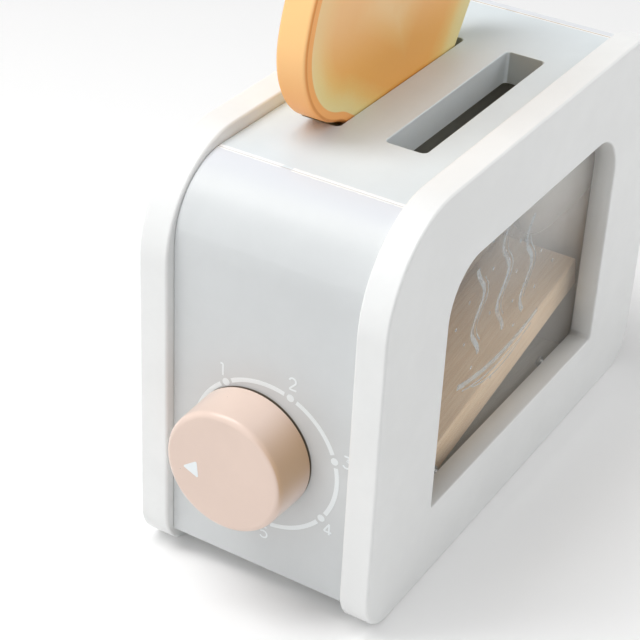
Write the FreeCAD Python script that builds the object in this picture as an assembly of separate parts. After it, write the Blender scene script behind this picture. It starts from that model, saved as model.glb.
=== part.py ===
"""Wooden toy toaster, in millimetres.

X runs along the toaster from the dial end to the lever end, Y from the window side to the plain side, Z up.
The origin is on the floor, under the middle of the body.
"""
import FreeCAD
import Part
import math
import os

V = FreeCAD.Vector
X_AXIS, Y_AXIS, Z_AXIS = V(1, 0, 0), V(0, 1, 0), V(0, 0, 1)

# ---- body: two side panels with the grey shell between them
body_length = 195.0
body_width = 84.0
body_height = 140.6
panel_thickness = 10.0
panel_arch_radius = 34.0        # upper corners of a side panel
panel_foot_radius = 14.0        # lower corners
panel_edge_round = 0.9          # round-over along both faces

shell_end_inset = 3.5           # the shell lies back from the panels' outline
shell_top_inset = 4.2
shell_corner_radius = 24.0
shell_floor_gap = 8.0
end_block_thickness = 22.2
top_board_thickness = 11.3
seam_chamfer = 0.35             # broken edge of the top board at each seam

base_board_thickness = 4.0
base_board_lap = 10.0           # how far the base board lies under each block
base_board_play = 0.2

# ---- window in the near side panel
window_end_margin = 38.0
window_bottom = 27.0
window_head_margin = 29.1       # from the window up to the panel's top
window_arch_radius = 17.3
window_foot_radius = 1.5
window_edge_break = 0.6
pane_setback = 7.7
pane_thickness = 2.0
pane_lap = 5.0                  # rebate round the window
pane_play = 0.2
pane_screw_inset = 3.0          # from the ends of the window's straight top edge

# ---- slots in the top board
slot_length = 81.0
slot_width = 13.8
slot_pitch = 29.8
slot_pair_offset = 1.8          # the pair lies a little towards the plain side
slot_corner_radius = 1.8
slot_edge_chamfer = 0.4

divider_thickness = 6.0
divider_groove_depth = 3.0
divider_play = 0.2
divider_tray_gap = 3.0
divider_screw_gap = 2.0         # room left round the dial's screw head

# ---- lift tray, tipped up at rest
tray_tilt = 12.4                # degrees, popped up
tray_press_angle = 12.0         # degrees of travel from rest to pressed
tray_thickness = 12.0
tray_side_gap = 2.0
tray_end_gap = 1.0              # between the tray and the blocks
tray_pivot_height = 18.5
tray_edge_round = 0.8

axle_radius = 3.0
axle_running_play = 0.05
axle_hole_depth = 6.0
axle_hole_play = 0.02
axle_end_gap = 0.4
spacer_radius = 5.5
spacer_play = 0.3

lever_arm_width = 12.0
lever_arm_height = 8.0
lever_arm_mortise = 30.0
lever_arm_play = 0.1
lever_arm_edge_break = 0.8
lever_tenon_radius = 3.5
lever_tenon_length = 7.0
lever_slot_side_gap = 0.6
lever_slot_end_gap = 0.5
lever_slot_corner_radius = 1.5
lever_knob_radius = 12.0
lever_knob_height = 11.0
lever_knob_round = 3.0

# ---- elastic loop and its screw eyes
elastic_from_block = 17.0       # from the lever block's inner face, at rest
elastic_cord_radius = 1.0
elastic_bend_radius = 2.4
eye_ring_radius = 4.0
eye_wire_radius = 0.9
eye_neck = 2.5
eye_thread_depth = 7.0
eye_hole_play = 0.02

# ---- dial
dial_offset_y = 2.6             # the dial's axis lies off the middle of the block
dial_height = 52.9
dial_radius = 20.8
dial_depth = 16.1
dial_edge_round = 2.2
dial_screw_radius = 2.0
dial_screw_play = 0.05
dial_screw_grip = 12.0          # length of screw inside the dial
screw_thread_play = 0.02
dial_screw_head_radius = 4.2
dial_screw_head_height = 2.6
dial_screw_head_break = 0.9
dial_washer_radius = 9.0
dial_washer_thickness = 0.6
dial_inner_washer_radius = 6.0
dial_inner_washer_thickness = 1.0

# ---- small fasteners
dowel_radius = 3.0
dowel_play = 0.05
dowel_panel_depth = 7.0
dowel_shell_depth = 12.0
dowel_edge_distance = 25.0      # from a block's ends to its dowels
base_screw_radius = 1.75
base_screw_head_radius = 3.6
base_screw_head_height = 1.8
base_screw_length = 16.0
base_screw_inset = 5.0          # from the base board's ends
base_screw_edge = 12.0          # from the shell's sides
pane_screw_radius = 1.0
pane_screw_head_radius = 2.0
pane_screw_head_height = 1.2
pane_screw_grip = 5.0

# ---- bread slice, tipped in the far slot
slice_width = 80.0
slice_height = 102.5
slice_thickness = 10.4
slice_lobe_radius = 27.4
slice_dome_radius = 62.0
slice_waist_depth = 2.0
slice_waist_radius = 16.0
slice_base_radius = 9.0
slice_edge_round = 1.1
slice_tip = 33.0                # degrees from lying flat on its side
slice_lobe_from_slot = 7.2      # lower lobe's middle, from the slot's dial end
slice_lobe_above_board = 27.6
slice_wall_gap = 0.3

fit_gap = 0.05                  # glued or pressed faces
hole_reserve = 0.5              # how much deeper a blind hole is than what it holds
cut_reach = 1.0                 # how far a cutting solid passes the face it cuts
edge_flats = 3                  # flats that make up a board's rounded edge
rim_flats = 2                   # flats that make up a turned piece's rounded edge
wire_flats = 6                  # flats round the wire of a screw eye and round the elastic cord
ring_flats = 16                 # straight pieces in a full turn of such a wire
fastener_flats = 12             # flats round a hidden dowel or screw, and round its hole
tolerance = 1e-4
sharp_corners = 1               # how a swept section passes a corner of its path

# ---- worked out from the sizes above
half_length = body_length / 2
half_width = body_width / 2
inner_half_width = half_width - panel_thickness
shell_half_length = half_length - shell_end_inset
shell_top = body_height - shell_top_inset
board_underside = shell_top - top_board_thickness
block_inner_x = shell_half_length - end_block_thickness
base_board_top = shell_floor_gap + base_board_thickness
window_half_length = half_length - window_end_margin
window_top = body_height - window_head_margin
divider_y = slot_pair_offset
slot_centres_y = [slot_pair_offset - slot_pitch / 2, slot_pair_offset + slot_pitch / 2]
dial_face_x = -shell_half_length
tray_half_width = inner_half_width - tray_side_gap
pivot = V(-block_inner_x + tray_thickness / 2 + tray_end_gap, 0, tray_pivot_height)
tray_angle = math.radians(tray_tilt)
press_angle = math.radians(tray_press_angle)


def box(x0, x1, y0, y1, z0, z1):
    return Part.makeBox(x1 - x0, y1 - y0, z1 - z0, V(x0, y0, z0))


def rod(radius, start, end):
    """Round bar from one point to another."""
    return Part.makeCylinder(radius, (end - start).Length, start, end - start)


def flat_rod(radius, start, end):
    """Bar with a few flats, for hidden dowels and screws and for their holes."""
    along = end - start
    side = X_AXIS if abs(along.x) < tolerance else Z_AXIS
    turn = FreeCAD.Rotation(along, 360 / fastener_flats)
    spokes = [side * radius]
    for _ in range(fastener_flats - 1):
        spokes.append(turn.multVec(spokes[-1]))
    return Part.Face(Part.makePolygon([start + spoke for spoke in spokes + spokes[:1]])).extrude(along)


def wire_loop(points, radius, outward, sideways):
    """Closed loop of wire or cord through some points, with a few flats round it."""
    turns = [2 * math.pi * (index + 0.5) / wire_flats for index in range(wire_flats + 1)]
    section = [points[0] + (outward * math.cos(a) + sideways * math.sin(a)) * radius for a in turns]
    path = Part.makePolygon(points + points[:1])
    return path.makePipeShell([Part.makePolygon(section)], True, True, sharp_corners)


def arc_points(centre, outward, upward, start, end):
    """Points along part of a circle, from one angle to another. The two vectors carry its radius."""
    steps = round(ring_flats * (end - start) / 360)
    turns = [math.radians(start + (end - start) * index / steps) for index in range(steps + 1)]
    return [centre + outward * math.cos(a) + upward * math.sin(a) for a in turns]


def group(shapes):
    return Part.makeCompound(shapes)


def across(edge, axis):
    """How far an edge reaches along one axis."""
    return getattr(edge.BoundBox, axis + "Length")


def turned(profile, start, direction):
    """Turned piece: (radius, height) pairs from the axis and back, with its height along direction."""
    wire = Part.makePolygon([V(r, 0, h) for r, h in profile + profile[:1]])
    solid = Part.Face(wire).revolve(V(0, 0, 0), Z_AXIS, 360)
    solid.Placement = FreeCAD.Placement(start, FreeCAD.Rotation(Z_AXIS, direction))
    return solid


def long_edges(solid, axis):
    """Edges of a box that run along one axis."""
    return [edge for edge in solid.Edges if across(edge, axis) > tolerance]


def rounded_rim(radius, height, edge_round):
    """Profile of a turned piece's outer edge, from its side round to its face."""
    steps = [math.radians(90 * index / rim_flats) for index in range(rim_flats + 1)]
    return [(radius - edge_round * (1 - math.cos(a)), height - edge_round * (1 - math.sin(a))) for a in steps]


def rounded_outline(x0, x1, z0, z1, lower_radius, upper_radius):
    """Upright outline in the XZ plane whose lower and upper corners have their own radii."""
    def corner(cx, cz, radius, start):
        points = [V(cx + radius * math.cos(math.radians(a)), 0, cz + radius * math.sin(math.radians(a)))
                  for a in (start, start + 45, start + 90)]
        return points

    low, high = lower_radius, upper_radius
    corners = [corner(x1 - high, z1 - high, high, 0), corner(x0 + high, z1 - high, high, 90),
               corner(x0 + low, z0 + low, low, 180), corner(x1 - low, z0 + low, low, 270)]
    edges = []
    for index, points in enumerate(corners):
        edges.append(Part.Arc(*points).toShape())
        edges.append(Part.LineSegment(points[2], corners[(index + 1) % 4][0]).toShape())
    return Part.Wire(edges)


def slab(outline, y0, y1):
    """Solid between two Y planes, from an outline drawn at Y = 0."""
    face = Part.Face(outline)
    face.translate(V(0, y0, 0))
    return face.extrude(V(0, y1 - y0, 0))


def rounded_slab(outline, y0, y1, edge_round):
    """Board between two Y planes, with both of its faces' edges rounded over in a few flats."""
    steps = [math.radians(90 * index / edge_flats) for index in range(edge_flats + 1)]
    insets = [(edge_round * (1 - math.sin(a)), edge_round * (1 - math.cos(a))) for a in steps]
    levels = [(y0 + depth, inset) for depth, inset in reversed(insets)]
    levels += [(y1 - depth, inset) for depth, inset in insets]
    rings = []
    for y, inset in levels:
        ring = outline.makeOffset2D(-inset) if inset > tolerance else outline.copy()
        ring.translate(V(0, y, 0))
        rings.append(ring)
    return Part.makeLoft(rings, True, True)


def edges_at(solid, axis, value):
    """Edges that lie in one plane, such as all those round a flat face."""
    def ends(edge):
        return getattr(edge.BoundBox, axis + "Min"), getattr(edge.BoundBox, axis + "Max")

    return [edge for edge in solid.Edges if all(abs(end - value) < tolerance for end in ends(edge))]


def on_tray(solid):
    """Moves a piece drawn flat, with the pivot at the origin, to the tray's popped-up place."""
    placed = solid.copy()
    placed.rotate(V(0, 0, 0), Y_AXIS, -tray_tilt)
    placed.translate(pivot)
    return placed


# ---- places that several pieces share
shell_outline = rounded_outline(-shell_half_length, shell_half_length,
                                shell_floor_gap - 2 * shell_corner_radius, shell_top,
                                shell_corner_radius, shell_corner_radius)

dowel_x = half_length - shell_end_inset - end_block_thickness / 2
block_dowel_z = [shell_floor_gap + dowel_edge_distance, shell_top - dowel_edge_distance - top_board_thickness]
board_dowel_x = slot_length / 2 + slot_corner_radius
dowel_places = [(sx * dowel_x, z) for sx in (-1, 1) for z in block_dowel_z]
dowel_places += [(sx * board_dowel_x, shell_top - top_board_thickness / 2) for sx in (-1, 1)]

base_screw_x = block_inner_x + base_board_lap - base_screw_inset
base_screw_places = [(sx * base_screw_x, sy * (inner_half_width - base_screw_edge))
                     for sx in (-1, 1) for sy in (-1, 1)]

pane_face_y = -half_width + pane_setback
pane_back_y = pane_face_y + pane_thickness
pane_screw_z = [window_bottom - pane_lap / 2, window_top + pane_lap / 2]
pane_screw_x = window_half_length - window_arch_radius - pane_screw_inset
pane_screw_places = [(sx * pane_screw_x, z) for sx in (-1, 1) for z in pane_screw_z]

elastic_x = block_inner_x - elastic_from_block
elastic_y = (divider_y + divider_thickness / 2 + inner_half_width) / 2
eye_reach = eye_neck + eye_ring_radius
tray_top_at_elastic = (pivot.z + (elastic_x - pivot.x) * math.tan(tray_angle)
                       + tray_thickness / 2 / math.cos(tray_angle))
upper_ring_z = board_underside - eye_reach
lower_ring_z = tray_top_at_elastic + eye_reach


def dowel_holes(side):
    """Blind holes for the joining dowels of one panel, half in the panel and half in the shell."""
    y0, y1 = side * (inner_half_width + dowel_panel_depth), side * (inner_half_width - dowel_shell_depth)
    return [flat_rod(dowel_radius + dowel_play, V(x, y0, z), V(x, y1, z)) for x, z in dowel_places]


# ---- white side panels
def side_panel(side):
    """Arched board with rounded-over edges, drilled for the dowels and for the tray's axle."""
    faces = sorted((side * half_width, side * inner_half_width))
    outline = rounded_outline(-half_length, half_length, 0, body_height, panel_foot_radius, panel_arch_radius)
    board = rounded_slab(outline, faces[0], faces[1], panel_edge_round)
    axle_hole = rod(axle_radius + axle_hole_play, V(pivot.x, 0, pivot.z),
                    V(pivot.x, side * (inner_half_width + axle_hole_depth), pivot.z))
    return board.cut(dowel_holes(side) + [axle_hole])


def window_outline(grow):
    return rounded_outline(-window_half_length - grow, window_half_length + grow,
                           window_bottom - grow, window_top + grow,
                           window_foot_radius + grow, window_arch_radius + grow)


def side_panel_window():
    """The near panel: a window through it, and a rebate for the pane cut from inside."""
    board = side_panel(-1)
    opening = slab(window_outline(0), -half_width - cut_reach, -inner_half_width + cut_reach)
    rebate = slab(window_outline(pane_lap), pane_face_y, -inner_half_width + cut_reach)
    board = board.cut(opening)
    rim = [edge for edge in edges_at(board, "Y", -half_width)
           if abs(edge.CenterOfMass.x) < window_half_length + tolerance
           and window_bottom - tolerance < edge.CenterOfMass.z < window_top + tolerance]
    board = board.makeChamfer(window_edge_break, rim).cut(rebate)
    pilots = [flat_rod(pane_screw_radius + screw_thread_play, V(x, pane_back_y, z),
                       V(x, pane_back_y - pane_screw_grip - fit_gap, z)) for x, z in pane_screw_places]
    return board.cut(pilots)


def side_panel_plain():
    return side_panel(1)


def window_pane():
    """Clear sheet that lies in the rebate."""
    sheet = slab(window_outline(pane_lap - pane_play), pane_face_y + fit_gap, pane_back_y)
    holes = [flat_rod(pane_screw_radius + pane_play, V(x, pane_face_y, z), V(x, pane_back_y + cut_reach, z))
             for x, z in pane_screw_places]
    return sheet.cut(holes)


def pane_screws():
    """Small flat-head screws along the window's sill and lintel, driven from inside."""
    screws = []
    for x, z in pane_screw_places:
        seat = V(x, pane_back_y + fit_gap, z)
        head = flat_rod(pane_screw_head_radius, seat, seat + Y_AXIS * pane_screw_head_height)
        screws.append(head.fuse(flat_rod(pane_screw_radius, V(x, pane_back_y - pane_screw_grip, z), seat)))
    return group(screws)


# ---- grey shell
def shell_piece(x0, x1, z0, z1):
    """A piece of the shell: a box trimmed to the rounded outline of the whole shell."""
    body = slab(shell_outline, -inner_half_width + fit_gap, inner_half_width - fit_gap)
    return body.common(box(x0, x1, -inner_half_width, inner_half_width, z0, z1))


def divider_groove(grow):
    """The divider's board with its top and ends in their grooves, wide by grow each way."""
    reach = block_inner_x + divider_groove_depth + grow
    half = divider_thickness / 2 + grow
    return box(-reach, reach, divider_y - half, divider_y + half, shell_floor_gap + base_board_thickness,
               board_underside + divider_groove_depth + grow)


def above_tray(gap):
    """Half-space over the popped-up tray, used to slope the divider's lower edge."""
    reach = body_length
    return on_tray(box(-reach, reach, -body_width, body_width, tray_thickness / 2 + gap, body_height * 2))


def end_block(side):
    """Solid block, rounded at its top corner and rebated below for the base board."""
    x0, x1 = sorted((side * block_inner_x, side * shell_half_length))
    block = shell_piece(x0, x1, shell_floor_gap, shell_top)
    lap0, lap1 = sorted((side * (block_inner_x - cut_reach), side * (block_inner_x + base_board_lap)))
    rebate = box(lap0, lap1, -half_width, half_width, shell_floor_gap - cut_reach, base_board_top + fit_gap)
    pilots = [flat_rod(base_screw_radius + screw_thread_play, V(x, y, base_board_top),
                       V(x, y, shell_floor_gap + base_screw_length + hole_reserve))
              for x, y in base_screw_places if x * side > 0]
    groove = divider_groove(divider_play).common(above_tray(divider_tray_gap - divider_play))
    return block.cut([rebate, groove] + pilots + dowel_holes(-1) + dowel_holes(1))


def end_block_dial():
    """The block that carries the dial, bored through for the dial's screw."""
    bore = rod(dial_screw_radius + dial_screw_play, V(dial_face_x - cut_reach, dial_offset_y, dial_height),
               V(-block_inner_x + cut_reach, dial_offset_y, dial_height))
    return end_block(-1).cut(bore)


def arm_edge_height(x, angle, side):
    """Height of the lever arm's upper (side 1) or lower (side -1) edge at x, with the arm at an angle."""
    return pivot.z + (x - pivot.x) * math.tan(angle) + side * lever_arm_height / 2 / math.cos(angle)


def end_block_lever():
    """The far block, with an upright slot that the lever arm sweeps from popped up to pressed."""
    bottom = arm_edge_height(block_inner_x, tray_angle - press_angle, -1) - lever_slot_end_gap
    top = arm_edge_height(shell_half_length, tray_angle, 1) + lever_slot_end_gap
    half = lever_arm_width / 2 + lever_slot_side_gap
    slot = box(block_inner_x - cut_reach, shell_half_length + cut_reach, -half, half, bottom, top)
    slot = slot.makeFillet(lever_slot_corner_radius, long_edges(slot, "X"))
    return end_block(1).cut(slot)


def top_board():
    """Flat board with the two bread slots, grooved underneath for the divider."""
    board = shell_piece(-block_inner_x + fit_gap, block_inner_x - fit_gap, board_underside, shell_top)
    seams = [edge for edge in edges_at(board, "Z", board.BoundBox.ZMax) if across(edge, "X") < tolerance]
    seams += [edge for edge in board.Edges if across(edge, "X") < tolerance and across(edge, "Z") < tolerance
              and board_underside + tolerance < edge.BoundBox.ZMax < shell_top - tolerance]
    board = board.makeChamfer(seam_chamfer, seams)
    for centre in slot_centres_y:
        slot = box(-slot_length / 2, slot_length / 2, centre - slot_width / 2, centre + slot_width / 2,
                   board_underside - cut_reach, shell_top + cut_reach)
        board = board.cut(slot.makeFillet(slot_corner_radius, long_edges(slot, "Z")))
    mouths = [edge for edge in edges_at(board, "Z", shell_top)
              if abs(edge.CenterOfMass.x) < slot_length / 2 + tolerance
              and abs(edge.CenterOfMass.y) < inner_half_width - slot_width / 2]
    board = board.makeChamfer(slot_edge_chamfer, mouths)
    eye_hole = flat_rod(eye_wire_radius + eye_hole_play, V(elastic_x, elastic_y, board_underside - cut_reach),
                        V(elastic_x, elastic_y, board_underside + eye_thread_depth + fit_gap))
    return board.cut([divider_groove(divider_play), eye_hole] + dowel_holes(-1) + dowel_holes(1))


def base_board():
    """Thin board let into the rebates of both blocks, counterbored for its screws."""
    reach = block_inner_x + base_board_lap - base_board_play
    half = inner_half_width - base_board_play
    board = box(-reach, reach, -half, half, shell_floor_gap, base_board_top)
    holes = []
    for x, y in base_screw_places:
        foot = V(x, y, shell_floor_gap)
        sink = foot + Z_AXIS * (base_screw_head_height + fit_gap)
        holes.append(flat_rod(base_screw_head_radius + base_board_play, foot, sink))
        holes.append(flat_rod(base_screw_radius + base_board_play, foot, foot + Z_AXIS * base_board_thickness))
    return board.cut(holes)


def base_screws():
    """Screws up through the base board into the blocks, with sunk heads."""
    screws = []
    for x, y in base_screw_places:
        foot = V(x, y, shell_floor_gap)
        head = flat_rod(base_screw_head_radius, foot, foot + Z_AXIS * base_screw_head_height)
        screws.append(head.fuse(flat_rod(base_screw_radius, foot, foot + Z_AXIS * base_screw_length)))
    return group(screws)


def joining_dowels():
    """Glued dowels that join each panel to the blocks and to the top board."""
    outer = inner_half_width + dowel_panel_depth - hole_reserve
    inner = inner_half_width - dowel_shell_depth + hole_reserve
    return group([flat_rod(dowel_radius, V(x, side * inner, z), V(x, side * outer, z))
                  for side in (-1, 1) for x, z in dowel_places])


def divider_board():
    """Upright board between the two bread bays. Its lower edge slopes with the popped-up tray."""
    room = dial_inner_washer_radius + divider_screw_gap
    reach = -block_inner_x + dial_inner_washer_thickness + dial_screw_head_height + divider_screw_gap
    notch = box(-shell_half_length, reach, -half_width, half_width, dial_height - room, dial_height + room)
    return divider_groove(0).common(above_tray(divider_tray_gap)).cut(notch)


# ---- lift tray and lever, drawn flat about the pivot and then tipped up
tray_swing = block_inner_x - tray_end_gap - pivot.x
tray_length = math.sqrt(tray_swing ** 2 - (tray_thickness / 2) ** 2)
lever_reach_x = half_length + dial_depth + dial_washer_thickness - shell_end_inset
knob_rim = lever_knob_radius - lever_knob_round
lever_outer = lever_knob_round + (lever_reach_x - pivot.x - knob_rim * math.sin(tray_angle)
                                  - lever_knob_round) / math.cos(tray_angle)
lever_knob_base = lever_outer - lever_knob_height


def lift_tray():
    """Board with a rounded, cross-drilled hinge end and a mortise for the lever arm."""
    half, length = tray_thickness / 2, tray_length
    outline = [Part.Arc(V(0, 0, half), V(-half, 0, 0), V(0, 0, -half)).toShape(),
               Part.LineSegment(V(0, 0, -half), V(length, 0, -half)).toShape(),
               Part.LineSegment(V(length, 0, -half), V(length, 0, half)).toShape(),
               Part.LineSegment(V(length, 0, half), V(0, 0, half)).toShape()]
    board = slab(Part.Wire(outline), -tray_half_width, tray_half_width)
    board = board.makeFillet(tray_edge_round, edges_at(board, "X", length))
    bore = rod(axle_radius + axle_running_play, V(0, -body_width, 0), V(0, body_width, 0))
    mortise = box(length - lever_arm_mortise, length + cut_reach,
                  -lever_arm_width / 2 - fit_gap, lever_arm_width / 2 + fit_gap,
                  -lever_arm_height / 2 - fit_gap, lever_arm_height / 2 + fit_gap)
    along, offset = eye_place()
    eye_hole = flat_rod(eye_wire_radius + eye_hole_play, V(along, offset, half + cut_reach),
                        V(along, offset, half - eye_thread_depth - fit_gap))
    return on_tray(board.cut([bore, mortise, eye_hole]))


def eye_place():
    """Where the lower eye enters the flat tray, so that its ring hangs under the upper one at rest."""
    ring = V(elastic_x - pivot.x, 0, lower_ring_z - pivot.z)
    along = ring.x * math.cos(tray_angle) + ring.z * math.sin(tray_angle)
    return along, elastic_y


def lever_arm():
    """Strip glued into the tray's mortise, with a round tenon for the knob."""
    start = tray_length - lever_arm_mortise + lever_arm_play
    strip = box(start, lever_knob_base, -lever_arm_width / 2, lever_arm_width / 2,
                -lever_arm_height / 2, lever_arm_height / 2)
    strip = strip.makeChamfer(lever_arm_edge_break, long_edges(strip, "X"))
    tenon = rod(lever_tenon_radius, V(start, 0, 0), V(lever_knob_base + lever_tenon_length, 0, 0))
    return on_tray(strip.fuse(tenon))


def lever_knob():
    """Turned knob with a rounded face, glued on the arm's tenon."""
    profile = [(0, fit_gap), (lever_knob_radius, fit_gap)]
    profile += rounded_rim(lever_knob_radius, lever_knob_height, lever_knob_round) + [(0, lever_knob_height)]
    knob = turned(profile, V(lever_knob_base, 0, 0), X_AXIS)
    socket = rod(lever_tenon_radius + fit_gap, V(lever_knob_base, 0, 0),
                 V(lever_knob_base + lever_tenon_length + hole_reserve, 0, 0))
    return on_tray(knob.cut(socket))


def tray_axle():
    """Dowel held in both panels' blind holes."""
    reach = inner_half_width + axle_hole_depth - axle_end_gap
    return rod(axle_radius, V(pivot.x, -reach, pivot.z), V(pivot.x, reach, pivot.z))


def axle_spacers():
    """A ring at each end of the axle, between the tray and its panel."""
    rings = []
    for side in (-1, 1):
        y0, y1 = side * (tray_half_width + spacer_play), side * (inner_half_width - fit_gap)
        ring = rod(spacer_radius, V(pivot.x, y0, pivot.z), V(pivot.x, y1, pivot.z))
        rings.append(ring.cut(rod(axle_radius + fit_gap, V(pivot.x, 0, pivot.z),
                                  V(pivot.x, side * half_width, pivot.z))))
    return group(rings)


def screw_eye():
    """Screw eye with its neck's foot at the origin and its ring above, lying in the XZ plane."""
    circle = arc_points(V(0, 0, eye_reach), X_AXIS * eye_ring_radius, Z_AXIS * eye_ring_radius, 0, 360)
    ring = wire_loop(circle[:-1], eye_wire_radius, X_AXIS, Y_AXIS)
    return ring.fuse(flat_rod(eye_wire_radius, V(0, 0, -eye_thread_depth), V(0, 0, eye_neck)))


def eye_upper():
    eye = screw_eye()
    eye.rotate(V(0, 0, 0), X_AXIS, 180)
    eye.translate(V(elastic_x, elastic_y, board_underside))
    return eye


def eye_lower():
    along, offset = eye_place()
    eye = screw_eye()
    eye.translate(V(along, offset, tray_thickness / 2))
    return on_tray(eye)


def return_elastic():
    """Loop of elastic cord threaded through both eyes: two straight runs and two half-turns."""
    along, offset = eye_place()
    lower = on_tray(Part.Vertex(along, offset, tray_thickness / 2 + eye_reach + eye_ring_radius)).Point
    bends = [(V(elastic_x, elastic_y, upper_ring_z - eye_ring_radius), 0, 180),
             (V(elastic_x, elastic_y, lower.z), 180, 360)]
    points = []
    for centre, start, end in bends:
        points += arc_points(centre, Y_AXIS * elastic_bend_radius, Z_AXIS * elastic_bend_radius, start, end)
    return wire_loop(points, elastic_cord_radius, Y_AXIS, X_AXIS)


# ---- dial
def dial_knob():
    """Turned knob with a rounded face."""
    base = V(dial_face_x - dial_washer_thickness, dial_offset_y, dial_height)
    profile = [(0, 0), (dial_radius, 0)]
    profile += rounded_rim(dial_radius, dial_depth, dial_edge_round) + [(0, dial_depth)]
    socket = rod(dial_screw_radius + screw_thread_play, base, base - X_AXIS * (dial_screw_grip + hole_reserve))
    return turned(profile, base, -X_AXIS).cut(socket)


def dial_screw():
    """Pan-head screw from inside the block. Its plain shank is the dial's spindle."""
    seat = V(-block_inner_x + dial_inner_washer_thickness + 2 * fit_gap, dial_offset_y, dial_height)
    tip_x = dial_face_x - dial_washer_thickness - dial_screw_grip
    head = rod(dial_screw_head_radius, seat, seat + X_AXIS * dial_screw_head_height)
    head = head.makeChamfer(dial_screw_head_break, edges_at(head, "X", seat.x + dial_screw_head_height))
    return head.fuse(rod(dial_screw_radius, seat, V(tip_x, dial_offset_y, dial_height)))


def dial_washer(radius, x0, x1):
    ring = rod(radius, V(x0, dial_offset_y, dial_height), V(x1, dial_offset_y, dial_height))
    return ring.cut(rod(dial_screw_radius + dial_screw_play, V(-half_length, dial_offset_y, dial_height),
                        V(0, dial_offset_y, dial_height)))


def dial_washer_outer():
    """Thin fibre washer that the dial turns against."""
    return dial_washer(dial_washer_radius, dial_face_x - dial_washer_thickness + fit_gap, dial_face_x - fit_gap)


def dial_washer_inner():
    """Steel washer under the screw's head."""
    return dial_washer(dial_inner_washer_radius, -block_inner_x + fit_gap,
                       -block_inner_x + dial_inner_washer_thickness)


# ---- bread slice
def slice_outline():
    """Bread shape, base at Z = 0 and dome up, as arcs and lines in the XZ plane."""
    half, lobe, waist, base = slice_width / 2, slice_lobe_radius, slice_waist_radius, slice_base_radius
    lobe_x = half - lobe
    spread = math.asin(lobe_x / (slice_dome_radius - lobe))
    lobe_z = slice_height - slice_dome_radius + (slice_dome_radius - lobe) * math.cos(spread)
    side_x = half - slice_waist_depth
    waist_x = side_x + waist
    reach = lobe + waist
    waist_z = lobe_z - math.sqrt(reach ** 2 - (waist_x - lobe_x) ** 2)
    meet = V(lobe_x + (waist_x - lobe_x) * lobe / reach, 0, lobe_z + (waist_z - lobe_z) * lobe / reach)
    meet_angle = math.atan2(meet.z - lobe_z, meet.x - lobe_x)
    shoulder_angle = math.pi / 2 - spread
    middle_angle = (meet_angle + shoulder_angle) / 2

    def polar(cx, cz, radius, angle):
        return V(cx + radius * math.cos(angle), 0, cz + radius * math.sin(angle))

    shoulder = polar(lobe_x, lobe_z, lobe, shoulder_angle)
    waist_start = V(side_x, 0, waist_z)
    waist_meet_angle = math.atan2(meet.z - waist_z, meet.x - waist_x) % (2 * math.pi)
    waist_middle = polar(waist_x, waist_z, waist, (math.pi + waist_meet_angle) / 2)
    half_edges = [
        (V(side_x - base, 0, 0), polar(side_x - base, base, base, -math.pi / 4), V(side_x, 0, base)),
        (V(side_x, 0, base), None, waist_start),
        (waist_start, waist_middle, meet),
        (meet, polar(lobe_x, lobe_z, lobe, middle_angle), shoulder)]

    def edge(start, middle, end):
        return Part.Arc(start, middle, end) if middle else Part.LineSegment(start, end)

    def mirrored(point):
        return V(-point.x, 0, point.z) if point else None

    edges = [edge(*points) for points in half_edges]
    edges.append(Part.Arc(shoulder, V(0, 0, slice_height), mirrored(shoulder)))
    for start, middle, end in reversed(half_edges):
        edges.append(edge(mirrored(end), mirrored(middle), mirrored(start)))
    edges.append(Part.LineSegment(mirrored(half_edges[0][0]), half_edges[0][0]))
    return Part.Wire([item.toShape() for item in edges]), V(lobe_x, 0, lobe_z)


def toast_slice():
    """Bread slice lying on its side and tipped, its dome towards the dial and its base corner in the slot."""
    outline, lobe_centre = slice_outline()
    bread = rounded_slab(outline, 0, slice_thickness, slice_edge_round)
    bread.translate(V(lobe_centre.x, 0, -lobe_centre.z))
    bread.rotate(V(0, 0, 0), Y_AXIS, -90 + slice_tip)
    near_wall = slot_centres_y[1] - slot_width / 2
    bread.translate(V(-slot_length / 2 + slice_lobe_from_slot, near_wall + slice_wall_gap,
                      shell_top + slice_lobe_above_board))
    return bread


parts = [side_panel_window, side_panel_plain, end_block_dial, end_block_lever, top_board, base_board,
         divider_board, window_pane, pane_screws, joining_dowels, base_screws, dial_knob, dial_screw,
         dial_washer_outer, dial_washer_inner, lift_tray, lever_arm, lever_knob, tray_axle, axle_spacers,
         eye_upper, eye_lower, return_elastic, toast_slice]

os.makedirs("parts", exist_ok=True)
for make_part in parts:
    shape = make_part()
    shape.exportStep("parts/" + make_part.__name__ + ".step")
    bounds = shape.BoundBox
    print("%-18s solids %2d valid %s  X %.1f..%.1f  Y %.1f..%.1f  Z %.1f..%.1f" % (
        make_part.__name__, len(shape.Solids), shape.isValid(), bounds.XMin, bounds.XMax,
        bounds.YMin, bounds.YMax, bounds.ZMin, bounds.ZMax))
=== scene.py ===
"""Wooden toy toaster: finishes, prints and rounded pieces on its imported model. In metres, in its frame."""
import math

import bmesh
import bpy
from mathutils import Matrix, Quaternion, Vector
from mathutils.geometry import intersect_point_line


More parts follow.
